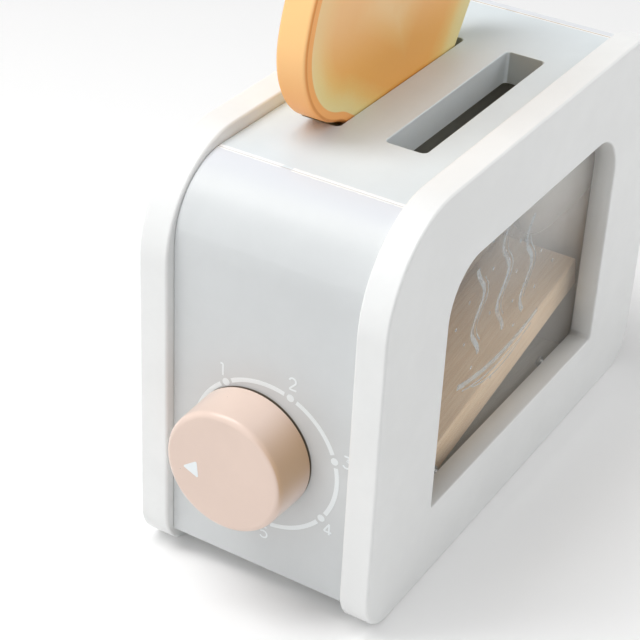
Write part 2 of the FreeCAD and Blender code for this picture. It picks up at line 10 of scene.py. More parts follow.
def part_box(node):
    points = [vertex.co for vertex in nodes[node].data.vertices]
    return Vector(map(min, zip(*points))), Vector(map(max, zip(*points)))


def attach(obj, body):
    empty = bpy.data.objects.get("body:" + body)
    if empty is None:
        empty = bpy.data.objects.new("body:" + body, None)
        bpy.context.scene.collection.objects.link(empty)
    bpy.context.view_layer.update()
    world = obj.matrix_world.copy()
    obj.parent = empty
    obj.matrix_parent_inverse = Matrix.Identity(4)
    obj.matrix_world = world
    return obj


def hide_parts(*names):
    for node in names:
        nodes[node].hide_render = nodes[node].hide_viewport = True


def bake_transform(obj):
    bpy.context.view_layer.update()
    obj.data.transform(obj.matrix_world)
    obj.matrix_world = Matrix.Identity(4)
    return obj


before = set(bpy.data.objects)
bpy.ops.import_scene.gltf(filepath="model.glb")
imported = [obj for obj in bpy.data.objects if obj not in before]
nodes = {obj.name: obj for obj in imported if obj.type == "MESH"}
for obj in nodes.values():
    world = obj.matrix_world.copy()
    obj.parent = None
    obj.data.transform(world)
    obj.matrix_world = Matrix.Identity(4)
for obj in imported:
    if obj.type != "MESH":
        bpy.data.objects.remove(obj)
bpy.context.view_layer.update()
MM = 0.001

# ---- Camera
# A medium-long lens looks down on the dial end from the window side.
# It is turned a few degrees about its own line of sight. Colours are shown as they are, with no film look.
bpy.context.scene.view_settings.view_transform = "Standard"
view_from = Vector((-468.6, -235.1, 381.0)) * MM
view_turn = math.radians(59.94)
view_drop = math.radians(32.44)
view_roll = math.radians(3.02)
film_width = 36
lens_length = 102.81


def placed(name, data):
    """Object in the scene that holds a mesh, a lamp or a camera."""
    made = bpy.data.objects.new(name, data)
    bpy.context.scene.collection.objects.link(made)
    return made


camera = placed("camera", bpy.data.cameras.new("camera"))
bpy.context.scene.camera = camera
camera.data.sensor_width = film_width
camera.data.lens = lens_length
ahead = Vector((math.sin(view_turn) * math.cos(view_drop), math.cos(view_turn) * math.cos(view_drop),
                -math.sin(view_drop)))
camera.rotation_mode = "QUATERNION"
camera.location = view_from
camera.rotation_quaternion = ahead.to_track_quat("-Z", "Y") @ Quaternion((0, 0, 1), view_roll)


# ---- Studio
# A white sweep of paper under the toaster and a pale room round it.
# The main light is a long soft box overhead, and three wide ones stand round the toaster.
class Socket:
    """One output of a node tree. Arithmetic on it adds Math nodes."""

    def __init__(self, tree, link):
        self.tree = tree
        self.link = link

    def __add__(self, other):
        return self.tree.math("ADD", self, other)

    def __sub__(self, other):
        return self.tree.math("SUBTRACT", self, other)

    def __rsub__(self, other):
        return self.tree.math("SUBTRACT", other, self)

    def __mul__(self, other):
        return self.tree.math("MULTIPLY", self, other)

    def __truediv__(self, other):
        return self.tree.math("DIVIDE", self, other)

    def __abs__(self):
        return self.tree.math("ABSOLUTE", self)

    __radd__ = __add__
    __rmul__ = __mul__


class Tree:
    """A node tree that is built by one call for each node."""

    def __init__(self, tree):
        self.tree = tree

    def node(self, kind, inputs=None, output=0, **settings):
        """Adds a node, with its settings first and then its inputs, and returns one of its outputs."""
        made = self.tree.nodes.new(kind)
        for name, value in settings.items():
            if name == "stops":
                self.set_stops(made.color_ramp.elements, value)
            else:
                setattr(made, name, value)
        for key, value in (inputs or {}).items():
            self.feed(made.inputs[key], value)
        return Socket(self, made.outputs[output]) if output is not None else None

    def feed(self, socket, value):
        """Links a socket to one source or to several, or gives it a constant."""
        sources = value if isinstance(value, list) else [value]
        for source in sources:
            if isinstance(source, Socket):
                self.tree.links.new(source.link, socket)
            else:
                socket.default_value = source

    def set_stops(self, elements, stops):
        while len(elements) < len(stops):
            elements.new(1.0)
        for element, (position, colour) in zip(elements, stops):
            element.position = position
            element.color = (*colour, 1)

    def math(self, operation, first, second=0.0):
        return self.node("ShaderNodeMath", {0: first, 1: second}, operation=operation)

    def ramp(self, value, stops):
        return self.node("ShaderNodeValToRGB", {0: value}, stops=stops)

    def mix(self, first, second, factor):
        """Colour between two colours, each a socket or three numbers."""
        pair = [colour if isinstance(colour, Socket) else (*colour, 1) for colour in (first, second)]
        return self.node("ShaderNodeMix", {0: factor, 6: pair[0], 7: pair[1]}, 2, data_type="RGBA")

    def rise(self, value, low, high):
        """Smooth step from 0 at low to 1 at high."""
        return self.node("ShaderNodeMapRange", {0: value, 1: low, 2: high}, interpolation_type="SMOOTHSTEP")


class Finish(Tree):
    """A material with one principled shader, whose constants are given by socket name."""

    def __init__(self, name, constants):
        self.material = bpy.data.materials.new(name)
        self.material.use_nodes = True
        super().__init__(self.material.node_tree)
        self.shader = self.tree.nodes["Principled BSDF"]
        for socket, value in constants.items():
            self.set(socket, value)

    def set(self, socket, value):
        """Gives one of the shader's sockets a constant or a link."""
        if isinstance(value, tuple) and len(value) == 3:
            value = (*value, 1)
        self.feed(self.shader.inputs[socket], value)

    def cover(self, colour, share):
        """Lays a colour over the finish so far, by a share from 0 to 1."""
        below = Socket(self, self.shader.inputs["Base Color"].links[0].from_socket)
        self.set("Base Color", self.mix(below, colour, share))

    def mottle(self, tones, share, height, depth):
        """Drifts between two colours by a share, over a relief of its own height and depth."""
        self.set("Base Color", self.mix(*tones, share))
        self.relief(height, depth)

    def place(self, stretch=(1, 1, 1), turn=(0, 0, 0)):
        """Position on the piece in millimetres, stretched or turned for a pattern."""
        where = self.node("ShaderNodeTexCoord", output="Object")
        turned_place = self.node("ShaderNodeMapping", {"Vector": where, "Rotation": turn})
        scale = tuple(amount / MM for amount in stretch)
        return self.node("ShaderNodeMapping", {"Vector": turned_place, "Scale": scale})

    def coordinate(self, axis):
        """Position on the piece along X, Y or Z in millimetres."""
        return self.node("ShaderNodeSeparateXYZ", {0: self.place()}, axis)

    def noise(self, scale, detail=2.0, roughness=0.5, stretch=(1, 1, 1), turn=(0, 0, 0)):
        """Noise from 0 to 1 over the piece, of a scale for each millimetre."""
        return self.node("ShaderNodeTexNoise", {"Vector": self.place(stretch, turn), "Scale": scale,
                                                "Detail": detail, "Roughness": roughness})

    def relief(self, height, depth):
        """Bumps the surface by a height from 0 to 1 times a depth in metres."""
        self.set("Normal", self.node("ShaderNodeBump", {"Height": height, "Distance": depth}))


def seen_directly(tree):
    """1 on what the camera, a reflection or a look through the pane sees, else 0."""
    rays = ("Is Camera Ray", "Is Glossy Ray", "Is Transmission Ray")
    seen = [tree.node("ShaderNodeLightPath", output=ray) for ray in rays]
    return tree.math("MAXIMUM", tree.math("MAXIMUM", seen[0], seen[1]), seen[2])


floor_reach = 3.0
floor_white = 0.93
floor_lift = 0.05
floor_fade = (450, 1300)
room_light = 0.34
lamp_target = Vector((0, 0, 70)) * MM

floor_mesh = bpy.data.meshes.new("floor")
floor_corners = [(x * floor_reach, y * floor_reach, 0) for x, y in ((-1, -1), (1, -1), (1, 1), (-1, 1))]
floor_mesh.from_pydata(floor_corners, [], [(0, 1, 2, 3)])
paper = Finish("white_paper", {"Base Color": (floor_white,) * 3, "Roughness": 0.9, "Specular IOR Level": 0.1,
                               "Emission Strength": 1.0})
paper_reach = paper.node("ShaderNodeVectorMath", {0: paper.place()}, "Value", operation="LENGTH")
far_off = paper.rise(paper_reach, *floor_fade)
paper.set("Emission Color", paper.mix((0, 0, 0), (1, 1, 1), (floor_lift + far_off) * seen_directly(paper)))
floor_mesh.materials.append(paper.material)
floor = placed("floor", floor_mesh)

world = bpy.data.worlds.new("room")
bpy.context.scene.world = world
world.use_nodes = True
room = Tree(world.node_tree)
room.tree.nodes.clear()
dim, white = (room.node("ShaderNodeBackground", {"Color": (1, 1, 1, 1), "Strength": strength})
              for strength in (room_light, 1.0))
either_room = room.node("ShaderNodeMixShader", {0: seen_directly(room), 1: dim, 2: white})
room.node("ShaderNodeOutputWorld", {"Surface": either_room}, None)


def soft_box(name, direction, distance, size, power):
    """Rectangular lamp that faces the toaster's middle from one direction."""
    lamp = bpy.data.lights.new(name, "AREA")
    lamp.shape = "RECTANGLE"
    lamp.size, lamp.size_y = size
    lamp.energy = power
    holder = placed(name, lamp)
    aim = Vector(direction).normalized()
    holder.location = lamp_target + aim * distance
    holder.rotation_mode = "QUATERNION"
    holder.rotation_quaternion = (-aim).to_track_quat("-Z", "Y")
    holder.visible_camera = False


soft_box("overhead_box", (-0.28, 0.38, 0.90), 1.1, (0.45, 0.9), 8.0)
soft_box("dial_end_box", (-1.0, 0.5, 0.5), 1.3, (1.2, 1.2), 2.0)
soft_box("near_box", (-1.0, -0.1, 0.8), 1.3, (1.2, 1.2), 3.2)
soft_box("window_side_box", (0.8, -0.8, 0.45), 1.3, (0.8, 0.8), 4.8)


# ---- Side panels
# Two 10 mm boards with arched corners, rounded over on both faces and sprayed white.
# The near one has a window with a rebate behind it. Both are glued and dowelled to the shell.
arch_radius = 34 * MM
foot_radius = 14 * MM
panel_round = 0.9 * MM
window_end_margin = 38 * MM
window_sill = 27 * MM
window_head_margin = 29.1 * MM
window_arch = 17.3 * MM
window_foot = 1.5 * MM
window_edge = 0.6 * MM
pane_lap = 5 * MM
corner_steps = 28
round_steps = 5
arris_angle = math.radians(35)
merge_distance = 1e-7
peel_noise = (0.9, 3.0)
grain_noise = (1.0, 4.0, 0.6)
mark_noise = (0.035, 5.0, 0.65)
mark_rise = (0.35, 0.7)
mark_shade = 0.965
peel_share = 0.35
grain_gloss = 0.07
mark_gloss = 0.05
paint_relief = 0.02 * MM
white_colour = (0.845, 0.855, 0.85)


def sweep(x, y, radius, start, end, steps):
    """Points along part of a circle, from one angle to another in degrees."""
    angles = [math.radians(start + (end - start) * step / steps) for step in range(steps + 1)]
    return [(x + radius * math.cos(angle), y + radius * math.sin(angle)) for angle in angles]


def rounded_outline(x0, x1, z0, z1, low, high):
    """Points round an upright board whose lower and upper corners have their own radii."""
    corners = [(x1 - high, z1 - high, high, 0), (x0 + high, z1 - high, high, 90),
               (x0 + low, z0 + low, low, 180), (x1 - low, z0 + low, low, 270)]
    return [point for x, z, radius, start in corners
            for point in sweep(x, z, radius, start, start + 90, corner_steps)]


def upright(outline, y):
    """Ring of points at one Y, from an outline of (x, z) pairs."""
    return [(x, y, z) for x, z in outline]


def flat(outline, z):
    """Ring of points at one Z, from an outline of (x, y) pairs."""
    return [(x, y, z) for x, y in outline]


def skin(name, rings, capped=True):
    """Closed piece through rings of as many points each; uncapped, the last ring joins the first."""
    count = len(rings[0])
    faces = []
    pairs = len(rings) - 1 if capped else len(rings)
    for ring in range(pairs):
        low, high = ring * count, (ring + 1) % len(rings) * count
        for point in range(count):
            after = (point + 1) % count
            faces.append((low + point, low + after, high + after, high + point))
    if capped:
        faces.append(tuple(range(count)))
        faces.append(tuple(range((len(rings) - 1) * count, len(rings) * count)))
    mesh = bpy.data.meshes.new(name)
    mesh.from_pydata([point for ring in rings for point in ring], [], faces)
    return piece_of(name, mesh)


def piece_of(name, mesh):
    """Object from a closed mesh, with its faces turned outwards."""
    form = bmesh.new()
    form.from_mesh(mesh)
    bmesh.ops.remove_doubles(form, verts=form.verts, dist=merge_distance)
    bmesh.ops.recalc_face_normals(form, faces=form.faces)
    form.to_mesh(mesh)
    form.free()
    return placed(name, mesh)


def ease(piece, width, segments=3):
    """Rounds a piece's arrises, as sanding and paint leave them."""
    bevel = piece.modifiers.new("ease", "BEVEL")
    bevel.width = width
    bevel.segments = segments
    bevel.limit_method = "ANGLE"
    bevel.angle_limit = arris_angle
    bevel.use_clamp_overlap = False
    bevel.harden_normals = True


def fit(piece, finish, body, replaced):
    """Smooths a finished piece, coats it, and seats it on its body in place of its plain solid."""
    for face in piece.data.polygons:
        face.use_smooth = True
    lean = piece.modifiers.new("flat_faces", "WEIGHTED_NORMAL")
    lean.weight = 100
    piece.data.materials.clear()
    piece.data.materials.append(finish.material)
    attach(piece, body)
    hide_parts(replaced)


def coat(node, finish):
    """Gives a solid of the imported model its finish."""
    for holder in nodes[node].material_slots:
        holder.material = finish.material


def paint(name, colour, roughness, grain_along=(1, 1, 1), grain_depth=0.0):
    """Satin paint sprayed on sanded wood: fine orange peel, some of the grain, faint handling marks."""
    made = Finish(name, {"Roughness": roughness, "Specular IOR Level": 0.5})
    peel = made.noise(*peel_noise)
    grain = made.noise(*grain_noise, grain_along)
    marks = made.noise(*mark_noise)
    darker = tuple(channel * mark_shade for channel in colour)
    made.set("Base Color", made.mix(darker, colour, made.rise(marks, *mark_rise)))
    made.set("Roughness", roughness + grain_gloss * (grain - 0.5) + mark_gloss * (marks - 0.5))
    made.relief(peel_share * peel + grain_depth * grain, paint_relief)
    return made


panel_low, panel_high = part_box("side_panel_window")
white_paint = paint("white_paint", white_colour, roughness=0.42, grain_along=(0.05, 1.2, 1.2),
                    grain_depth=0.25)


def panel_outline(inset):
    return rounded_outline(panel_low.x + inset, panel_high.x - inset, panel_low.z + inset,
                           panel_high.z - inset, foot_radius - inset, arch_radius - inset)


def window_outline(grow):
    return rounded_outline(panel_low.x + window_end_margin - grow, panel_high.x - window_end_margin + grow,
                           window_sill - grow, panel_high.z - window_head_margin + grow,
                           window_foot + grow, window_arch + grow)


def quarter(radius):
    """(depth, inset) pairs of a quarter round, from a board's side in to its face."""
    angles = [math.pi / 2 * step / round_steps for step in range(round_steps + 1)]
    return [(radius * (1 - math.sin(angle)), radius * (1 - math.cos(angle))) for angle in angles]


def panel_rings(outer, inner):
    """Rings over a panel's edge, from its outer face round to its inner face."""
    toward = 1 if inner > outer else -1
    edge = quarter(panel_round)
    rings = [upright(panel_outline(inset), outer + toward * depth) for depth, inset in reversed(edge)]
    return rings + [upright(panel_outline(inset), inner - toward * depth) for depth, inset in edge]


pane_face_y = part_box("window_pane")[0].y
near_rings = panel_rings(panel_low.y, panel_high.y)
near_rings += [upright(window_outline(grow), y)
               for grow, y in ((pane_lap, panel_high.y), (pane_lap, pane_face_y), (0, pane_face_y))]
near_rings += [upright(window_outline(inset), panel_low.y + depth) for depth, inset in quarter(window_edge)]
near_panel = skin("panel_window_side", near_rings, capped=False)
fit(near_panel, white_paint, "casing", "side_panel_window")

far_low, far_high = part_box("side_panel_plain")
far_panel = skin("panel_plain_side", panel_rings(far_high.y, far_low.y))
fit(far_panel, white_paint, "casing", "side_panel_plain")


# ---- Window pane
# A 2 mm sheet of clear plastic lies in the rebate behind the near panel's face.
# Steam and crumbs over a warm hob are screen-printed on its outer side in one thin, chalky ink.
pane_tint = (0.80, 0.80, 0.78)
pane_veil = 0.10
pane_reflection_strength = 0.29
pane_smear = 0.05
smear_noise = (0.045, 4.0, 0.6, (0.4, 1, 1))
least_reflection = 0.25
reflection_from_end = (-50, 30)
reflection_from_sill = (60, 105)
ink_colour = (0.68, 0.74, 0.77)
ink_thin = 0.14
ink_more = 0.34
chalk_noise = (1.6, 5.0, 0.75, (1, 1, 0.35))
chalk_rise = (0.62, 1.0)
patch_scale = 0.11
patch_share = 0.6
ink_film = 0.05 * MM
ink_sink = 0.01 * MM
ink_overprint = 0.004 * MM
ink_corner = 0.25 * MM
dot_sides = 24


def settle(piece, modifier):
    """Keeps what a modifier makes of a piece as its plain mesh."""
    result = bpy.data.meshes.new_from_object(piece.evaluated_get(bpy.context.evaluated_depsgraph_get()))
    piece.modifiers.remove(modifier)
    piece.data = result


class Recipe(Tree):
    """A Geometry Nodes tree with named inputs, which is run on a piece and leaves plain mesh."""

    def __init__(self, name, inputs):
        super().__init__(bpy.data.node_groups.new(name, "GeometryNodeTree"))
        interface = self.tree.interface
        interface.new_socket(name="Geometry", in_out="OUTPUT", socket_type="NodeSocketGeometry")
        self.keys = {}
        for socket, kind in {"Geometry": "Geometry", **inputs, "Finish": "Material"}.items():
            made = interface.new_socket(name=socket, in_out="INPUT", socket_type="NodeSocket" + kind)
            self.keys[socket] = made.identifier
        self.entry = self.tree.nodes.new("NodeGroupInput")

    def given(self, name):
        return Socket(self, self.entry.outputs[name])

    def close(self, geometry):
        """Ends the tree: everything is made real and gets the one finish."""
        real = self.node("GeometryNodeRealizeInstances", {0: geometry})
        coated = self.node("GeometryNodeSetMaterial", {"Geometry": real, "Material": self.given("Finish")})
        self.node("NodeGroupOutput", {"Geometry": coated}, None)

    def run(self, piece, values):
        """Runs the tree on a piece, with a value for each named input."""
        step = piece.modifiers.new("recipe", "NODES")
        step.node_group = self.tree
        for name, value in values.items():
            step[self.keys[name]] = value
        settle(piece, step)


# Lines of the drawing become flat strips of ink, and its loose points become round dots.
printing = Recipe("printing", {name: "Float" for name in ("Line width", "Dot size", "Film", "Corner")})
sketched, film, dot_size = (printing.given(name) for name in ("Geometry", "Film", "Dot size"))
lines = printing.node("GeometryNodeMeshToCurve", {"Mesh": sketched})
lines = printing.node("GeometryNodeFilletCurve", {"Curve": lines, "Count": 3, "Limit Radius": True,
                                                  "Radius": printing.given("Corner")}, mode="POLY")
lines = printing.node("GeometryNodeSetCurveNormal", {"Curve": lines}, mode="Z_UP")
nib = printing.node("GeometryNodeCurvePrimitiveQuadrilateral",
                    {"Width": printing.given("Line width"), "Height": film})
strips = printing.node("GeometryNodeCurveToMesh", {"Curve": lines, "Profile Curve": nib, "Fill Caps": True})
neighbours = printing.node("GeometryNodeInputMeshVertexNeighbors")
loose = printing.node("FunctionNodeCompare", {2: neighbours, 3: 0}, data_type="INT", operation="EQUAL")
points = printing.node("GeometryNodeMeshToPoints", {"Mesh": sketched, "Selection": loose})
disc = printing.node("GeometryNodeMeshCylinder", {"Vertices": dot_sides, "Radius": 0.5, "Depth": 1.0})
disc_size = printing.node("ShaderNodeCombineXYZ", {0: dot_size, 1: dot_size, 2: film})
dots = printing.node("GeometryNodeInstanceOnPoints", {"Points": points, "Instance": disc, "Scale": disc_size})
printing.close(printing.node("GeometryNodeJoinGeometry", {0: [strips, dots]}))


def printed(name, strokes, dots, line, dot, place, finish):
    """Prints strokes and dots, given as (x, y) points, on a face of the casing."""
    drawn = [(x, y, 0) for x, y in dots]
    edges = []
    for index, stroke in enumerate(strokes, 1):
        edges += [(point, point + 1) for point in range(len(drawn), len(drawn) + len(stroke) - 1)]
        drawn += [(x, y, ink_overprint * index) for x, y in stroke]
    sketch = bpy.data.meshes.new(name)
    sketch.from_pydata(drawn, edges, [])
    piece = placed(name, sketch)
    printing.run(piece, {"Line width": line, "Dot size": dot, "Film": ink_film, "Corner": ink_corner,
                         "Finish": finish.material})
    piece.data.transform(place)
    piece.data.shade_flat()
    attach(piece, "casing")


pane_plastic = Finish("clear_plastic", {"Base Color": pane_tint, "Roughness": 0.10, "IOR": 1.49,
                                        "Specular IOR Level": 0.35})
smears = pane_plastic.noise(*smear_noise)
# Towards the top and the lever end the pane is made less clear, so its pale tint shows there as a painted
# reflection.
reflection_along = pane_plastic.rise(pane_plastic.coordinate("X"), *reflection_from_end)
reflection_up = pane_plastic.rise(pane_plastic.coordinate("Z"), *reflection_from_sill)
reflection_share = pane_reflection_strength * reflection_along * (least_reflection + reflection_up)
pane_plastic.set("Alpha", pane_veil + pane_smear * (smears - 0.5) + reflection_share)
coat("window_pane", pane_plastic)

wisps = ((-23, 78, 34, 0.0), (-6, 82, 42, 0.9), (12, 79, 36, 1.8))
wisp_sway = 3.0 * MM
wisp_wave = 23 * MM
wisp_aside = 2.9 * MM
wisp_fine_share = 0.7
hob_arcs = ((54.5, -33, 25), (51.2, -29, 21), (48.9, -22, 14))
hob_sag = 3.5 * MM
crumbs = ((-31, 70), (-30, 85), (-15, 90), (-14, 73), (-17, 101), (3, 69), (4, 91), (3.5, 80), (20, 66),
          (22, 79), (-24, 57.5), (6, 58), (17, 101), (-8, 45), (33, 88), (-38, 79), (33, 70))
band_line = 2.0 * MM
fine_line = 0.5 * MM
crumb_size = 1.3 * MM
wisp_steps = 60
hob_steps = 40


def wisp(x, z, height, lag, aside=0.0, share=1.0):
    """Points up one wavy line of steam, or along a shorter one beside it."""
    points = []
    for step in range(wisp_steps + 1):
        up = (step / wisp_steps - 0.5) * height * MM * share
        sway = wisp_sway * math.sin(2 * math.pi * up / wisp_wave + lag)
        points.append((x * MM + sway + aside, z * MM + up))
    return points


def hob_arc(z, start, end):
    """Points along a shallow arc that hangs between its two ends."""
    half, middle = (end - start) / 2 * MM, (end + start) / 2 * MM
    along = [2 * step / hob_steps - 1 for step in range(hob_steps + 1)]
    return [(middle + half * share, z * MM + hob_sag * (share * share - 1)) for share in along]


pale_ink = Finish("pale_ink", {"Base Color": ink_colour, "Roughness": 0.6})
chalk = pale_ink.noise(*chalk_noise)
patches = pale_ink.noise(patch_scale)
pale_ink.set("Alpha", ink_thin + ink_more * pale_ink.rise(chalk + patch_share * patches, *chalk_rise))
pane_face = Matrix.Translation((0, pane_face_y + ink_sink - ink_film / 2, 0))
pane_face @= Matrix.Rotation(math.pi / 2, 4, "X")
band_strokes = [wisp(*row) for row in wisps] + [hob_arc(*hob_arcs[0])]
printed("pane_bands", band_strokes, [], band_line, crumb_size, pane_face, pale_ink)
fine_strokes = [wisp(*row, aside=wisp_aside, share=wisp_fine_share) for row in wisps]
fine_strokes += [hob_arc(*row) for row in hob_arcs[1:]]
printed("pane_lines", fine_strokes, [(x * MM, z * MM) for x, z in crumbs], fine_line, crumb_size, pane_face,
        pale_ink)


# ---- Screws
# Four small screws hold the pane from inside, and four larger ones hold the base board.
# All are zinc-plated steel with a cross recess and a rolled thread, and each stopped at its own angle.
screw_turns_seed = 4
thread_depth = 0.16
pitch_share = 0.75
point_share = 1.2
point_root = 0.8
point_tip = 0.15
screw_sides = 24
crown = ((0.5, 0.0), (0.8, 0.12), (0.95, 0.38), (1.0, 0.75), (1.0, 1.0))
cross_reach = 0.56
cross_half = 0.13
cross_depth = 0.7
plating_noise = (0.9, 4.0, 0.6)
zinc_smooth = 0.24
zinc_dulled = 0.16
zinc_relief = 0.01 * MM
zinc_tones = ((0.50, 0.51, 0.52), (0.66, 0.66, 0.64))

zinc_steel = Finish("zinc_steel", {"Metallic": 1.0})
plating = zinc_steel.noise(*plating_noise)
zinc_steel.mottle(zinc_tones, plating, plating, zinc_relief)
zinc_steel.set("Roughness", zinc_smooth + zinc_dulled * plating)

setting_out = Recipe("setting_out", {"Screw": "Object", "Aim": "Vector"})
one_screw = setting_out.node("GeometryNodeObjectInfo", {"Object": setting_out.given("Screw")}, "Geometry")
aim = setting_out.node("FunctionNodeAlignRotationToVector", {"Vector": setting_out.given("Aim")}, axis="Z")
stop = setting_out.node("FunctionNodeRandomValue", {"Min": 0.0, "Max": math.tau, "Seed": screw_turns_seed},
                        "Value", data_type="FLOAT")
spin = setting_out.node("FunctionNodeAxisAngleToRotation", {"Axis": (0, 0, 1), "Angle": stop})
aimed = setting_out.node("FunctionNodeRotateRotation", {0: aim, 1: spin}, rotation_space="LOCAL")
places = setting_out.node("GeometryNodeMeshToPoints", {"Mesh": setting_out.given("Geometry")})
setting_out.close(setting_out.node("GeometryNodeInstanceOnPoints",
                                   {"Points": places, "Instance": one_screw, "Rotation": aimed}))


def turned(name, profile, place, steps=128):
    """Turned piece from (radius, height) pairs, with its height along the Z of a placing matrix."""
    angles = [math.tau * step / steps for step in range(steps)]
    return skin(name, [[place @ Vector((radius * math.cos(a), radius * math.sin(a), height)) for a in angles]
                       for radius, height in profile])


def carve(piece, cutter):
    """Cuts one piece's shape out of another, for good."""
    cut = piece.modifiers.new("carve", "BOOLEAN")
    cut.operation = "DIFFERENCE"
    cut.solver = "EXACT"
    cut.object = cutter
    settle(piece, cut)
    bpy.data.objects.remove(cutter)


def bore(piece, radius, low, high, place, sides=48):
    """Drills a round hole between two heights along the Z of a placing matrix."""
    carve(piece, turned("bore", [(radius, low), (radius, high)], place, sides))


def thread(radius, start, end):
    """Profile points of a rolled thread, from one height to another."""
    pitch = radius * pitch_share
    root = radius * (1 - thread_depth)
    points = []
    for turn in range(int((end - start) / pitch)):
        points += [(root, start + pitch * turn), (radius, start + pitch * (turn + 0.5))]
    return points


def screw(head_radius, head_height, radius, length, plain=0.0):
    """One screw standing on its head at the origin, its thread after a plain length of shank."""
    profile = [(head_radius * out, head_height * down) for out, down in crown]
    profile += [(radius, head_height), (radius, head_height + plain)]
    point_start = length - radius * point_share
    profile += thread(radius, head_height + plain + radius / 4, point_start)
    profile += [(radius * point_root, point_start), (radius * point_tip, length)]
    body = turned("screw", profile, Matrix(), screw_sides)
    arm, half = head_radius * cross_reach, head_radius * cross_half
    cross = [(arm, half), (half, half), (half, arm), (-half, arm), (-half, half), (-arm, half),
             (-arm, -half), (-half, -half), (-half, -arm), (half, -arm), (half, -half), (arm, -half)]
    carve(body, skin("cross", [flat(cross, z) for z in (-head_height, head_height * cross_depth)]))
    return body


def set_out(name, one, places, aim, body):
    """Puts a copy of one screw at each place, with its thread pointing along aim."""
    spots = bpy.data.meshes.new(name)
    spots.from_pydata(places, [], [])
    piece = placed(name, spots)
    setting_out.run(piece, {"Screw": one, "Aim": aim, "Finish": zinc_steel.material})
    bpy.data.objects.remove(one)
    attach(piece, body)
    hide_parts(name)


pane_screw_head = 2.0 * MM
pane_screw_head_height = 1.2 * MM
pane_screw_radius = 1.0 * MM
screws_low, screws_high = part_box("pane_screws")
pane_spots = [(x, screws_high.y, z) for x in (screws_low.x + pane_screw_head, screws_high.x - pane_screw_head)
              for z in (screws_low.z + pane_screw_head, screws_high.z - pane_screw_head)]
pane_screw = screw(pane_screw_head, pane_screw_head_height, pane_screw_radius, screws_high.y - screws_low.y)
set_out("pane_screws", pane_screw, pane_spots, (0, -1, 0), "casing")

base_screw_head = 3.6 * MM
base_screw_head_height = 1.8 * MM
base_screw_radius = 1.75 * MM
screws_low, screws_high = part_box("base_screws")
from_middle = screws_high - Vector((base_screw_head, base_screw_head, 0))
base_spots = [(x, y, screws_low.z) for x in (-from_middle.x, from_middle.x)
              for y in (-from_middle.y, from_middle.y)]
base_screw = screw(base_screw_head, base_screw_head_height, base_screw_radius, screws_high.z - screws_low.z)
set_out("base_screws", base_screw, base_spots, (0, 0, 1), "casing")


# ---- Grey end blocks
# Two solid blocks with a rounded top corner, rebated below for the base board, sprayed a cool grey.
# Their grain runs upright and shows faintly. The wood is bare inside. Near the top the grey is painted paler
# and bluer, as a painted reflection. Round the dial's foot the face is painted near black, as painted shade.
# The lever block has an upright slot for the lever, with room above and below its travel.
shell_round = 24 * MM
arris = 0.35 * MM
rebate_lap = 10 * MM
rebate_height = 4.05 * MM
dial_bore = 2.05 * MM
bore_reach = 30 * MM
lever_slot_corner = 1.5 * MM
lever_slot_side_gap = 0.6 * MM
lever_slot_end_gap = 0.5 * MM
arm_half_width = 6 * MM
arm_half_height = 4 * MM
tray_tilt = math.radians(12.4)
tray_travel = math.radians(12)
grey_colour = (0.646, 0.668, 0.675)
top_reflection_grey = (0.71, 0.735, 0.78)
top_reflection_rise = (131.5, 136.5)
bare_tones = ((0.60, 0.50, 0.39), (0.50, 0.40, 0.30))
painted_gap_shade = (0.17, 0.145, 0.11)
joint_line_colour = (0.87, 0.89, 0.90)
joint_half = 1.05
joint_gap = 8.2
joint_gap_half = 2.0
joint_soft = 0.1
joint_gap_soft = 0.4
joint_gap_ragged = 3
joint_least = 0.55
joint_ragged = 0.9
ragged_noise = (0.5, 4.0, 0.7, (0.1, 1, 1))
bare_noise = (0.7, 4.0, 0.5, (1, 1, 0.06))
inside_rise = (0.1, 0.5)
gap_shade_soft = 0.3

dial_block_low, dial_block_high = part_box("end_block_dial")
lever_block_low, lever_block_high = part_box("end_block_lever")
board_low, board_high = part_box("top_board")


def shell_curve(x_from, x_to):
    """Points over the shell's rounded top between two X values."""
    flat_end = lever_block_high.x - shell_round
    centre_z = board_high.z - shell_round
    points = []
    for step in range(corner_steps + 1):
        angle = math.pi / 2 * step / corner_steps
        x = flat_end + shell_round * math.sin(angle)
        z = centre_z + shell_round * math.cos(angle)
        points += [(x, z), (-x, z)]
    ends = []
    for x in (x_from, x_to):
        over = max(abs(x) - flat_end, 0)
        ends.append((x, centre_z + math.sqrt(shell_round ** 2 - over ** 2)))
    inside = sorted(point for point in points if x_from + arris < point[0] < x_to - arris)
    return [ends[0]] + inside + [ends[1]]


def prism(name, outline, y0, y1):
    return skin(name, [upright(outline, y0), upright(outline, y1)])


def paint_joint_line(finish):
    """Paints a ragged white line along the joint between the top board and each block."""
    away = abs(abs(finish.coordinate("X")) - board_high.x / MM)
    ragged = finish.noise(*ragged_noise)
    from_gap = abs(finish.coordinate("Y") - joint_gap)
    from_gap += joint_gap_ragged * (ragged - 0.5)
    past_gap = finish.rise(from_gap, joint_gap_half - joint_gap_soft, joint_gap_half + joint_gap_soft)
    half = joint_half * (joint_least + joint_ragged * ragged)
    finish.cover(joint_line_colour, (1 - finish.rise(away, half - joint_soft, half + joint_soft)) * past_gap)


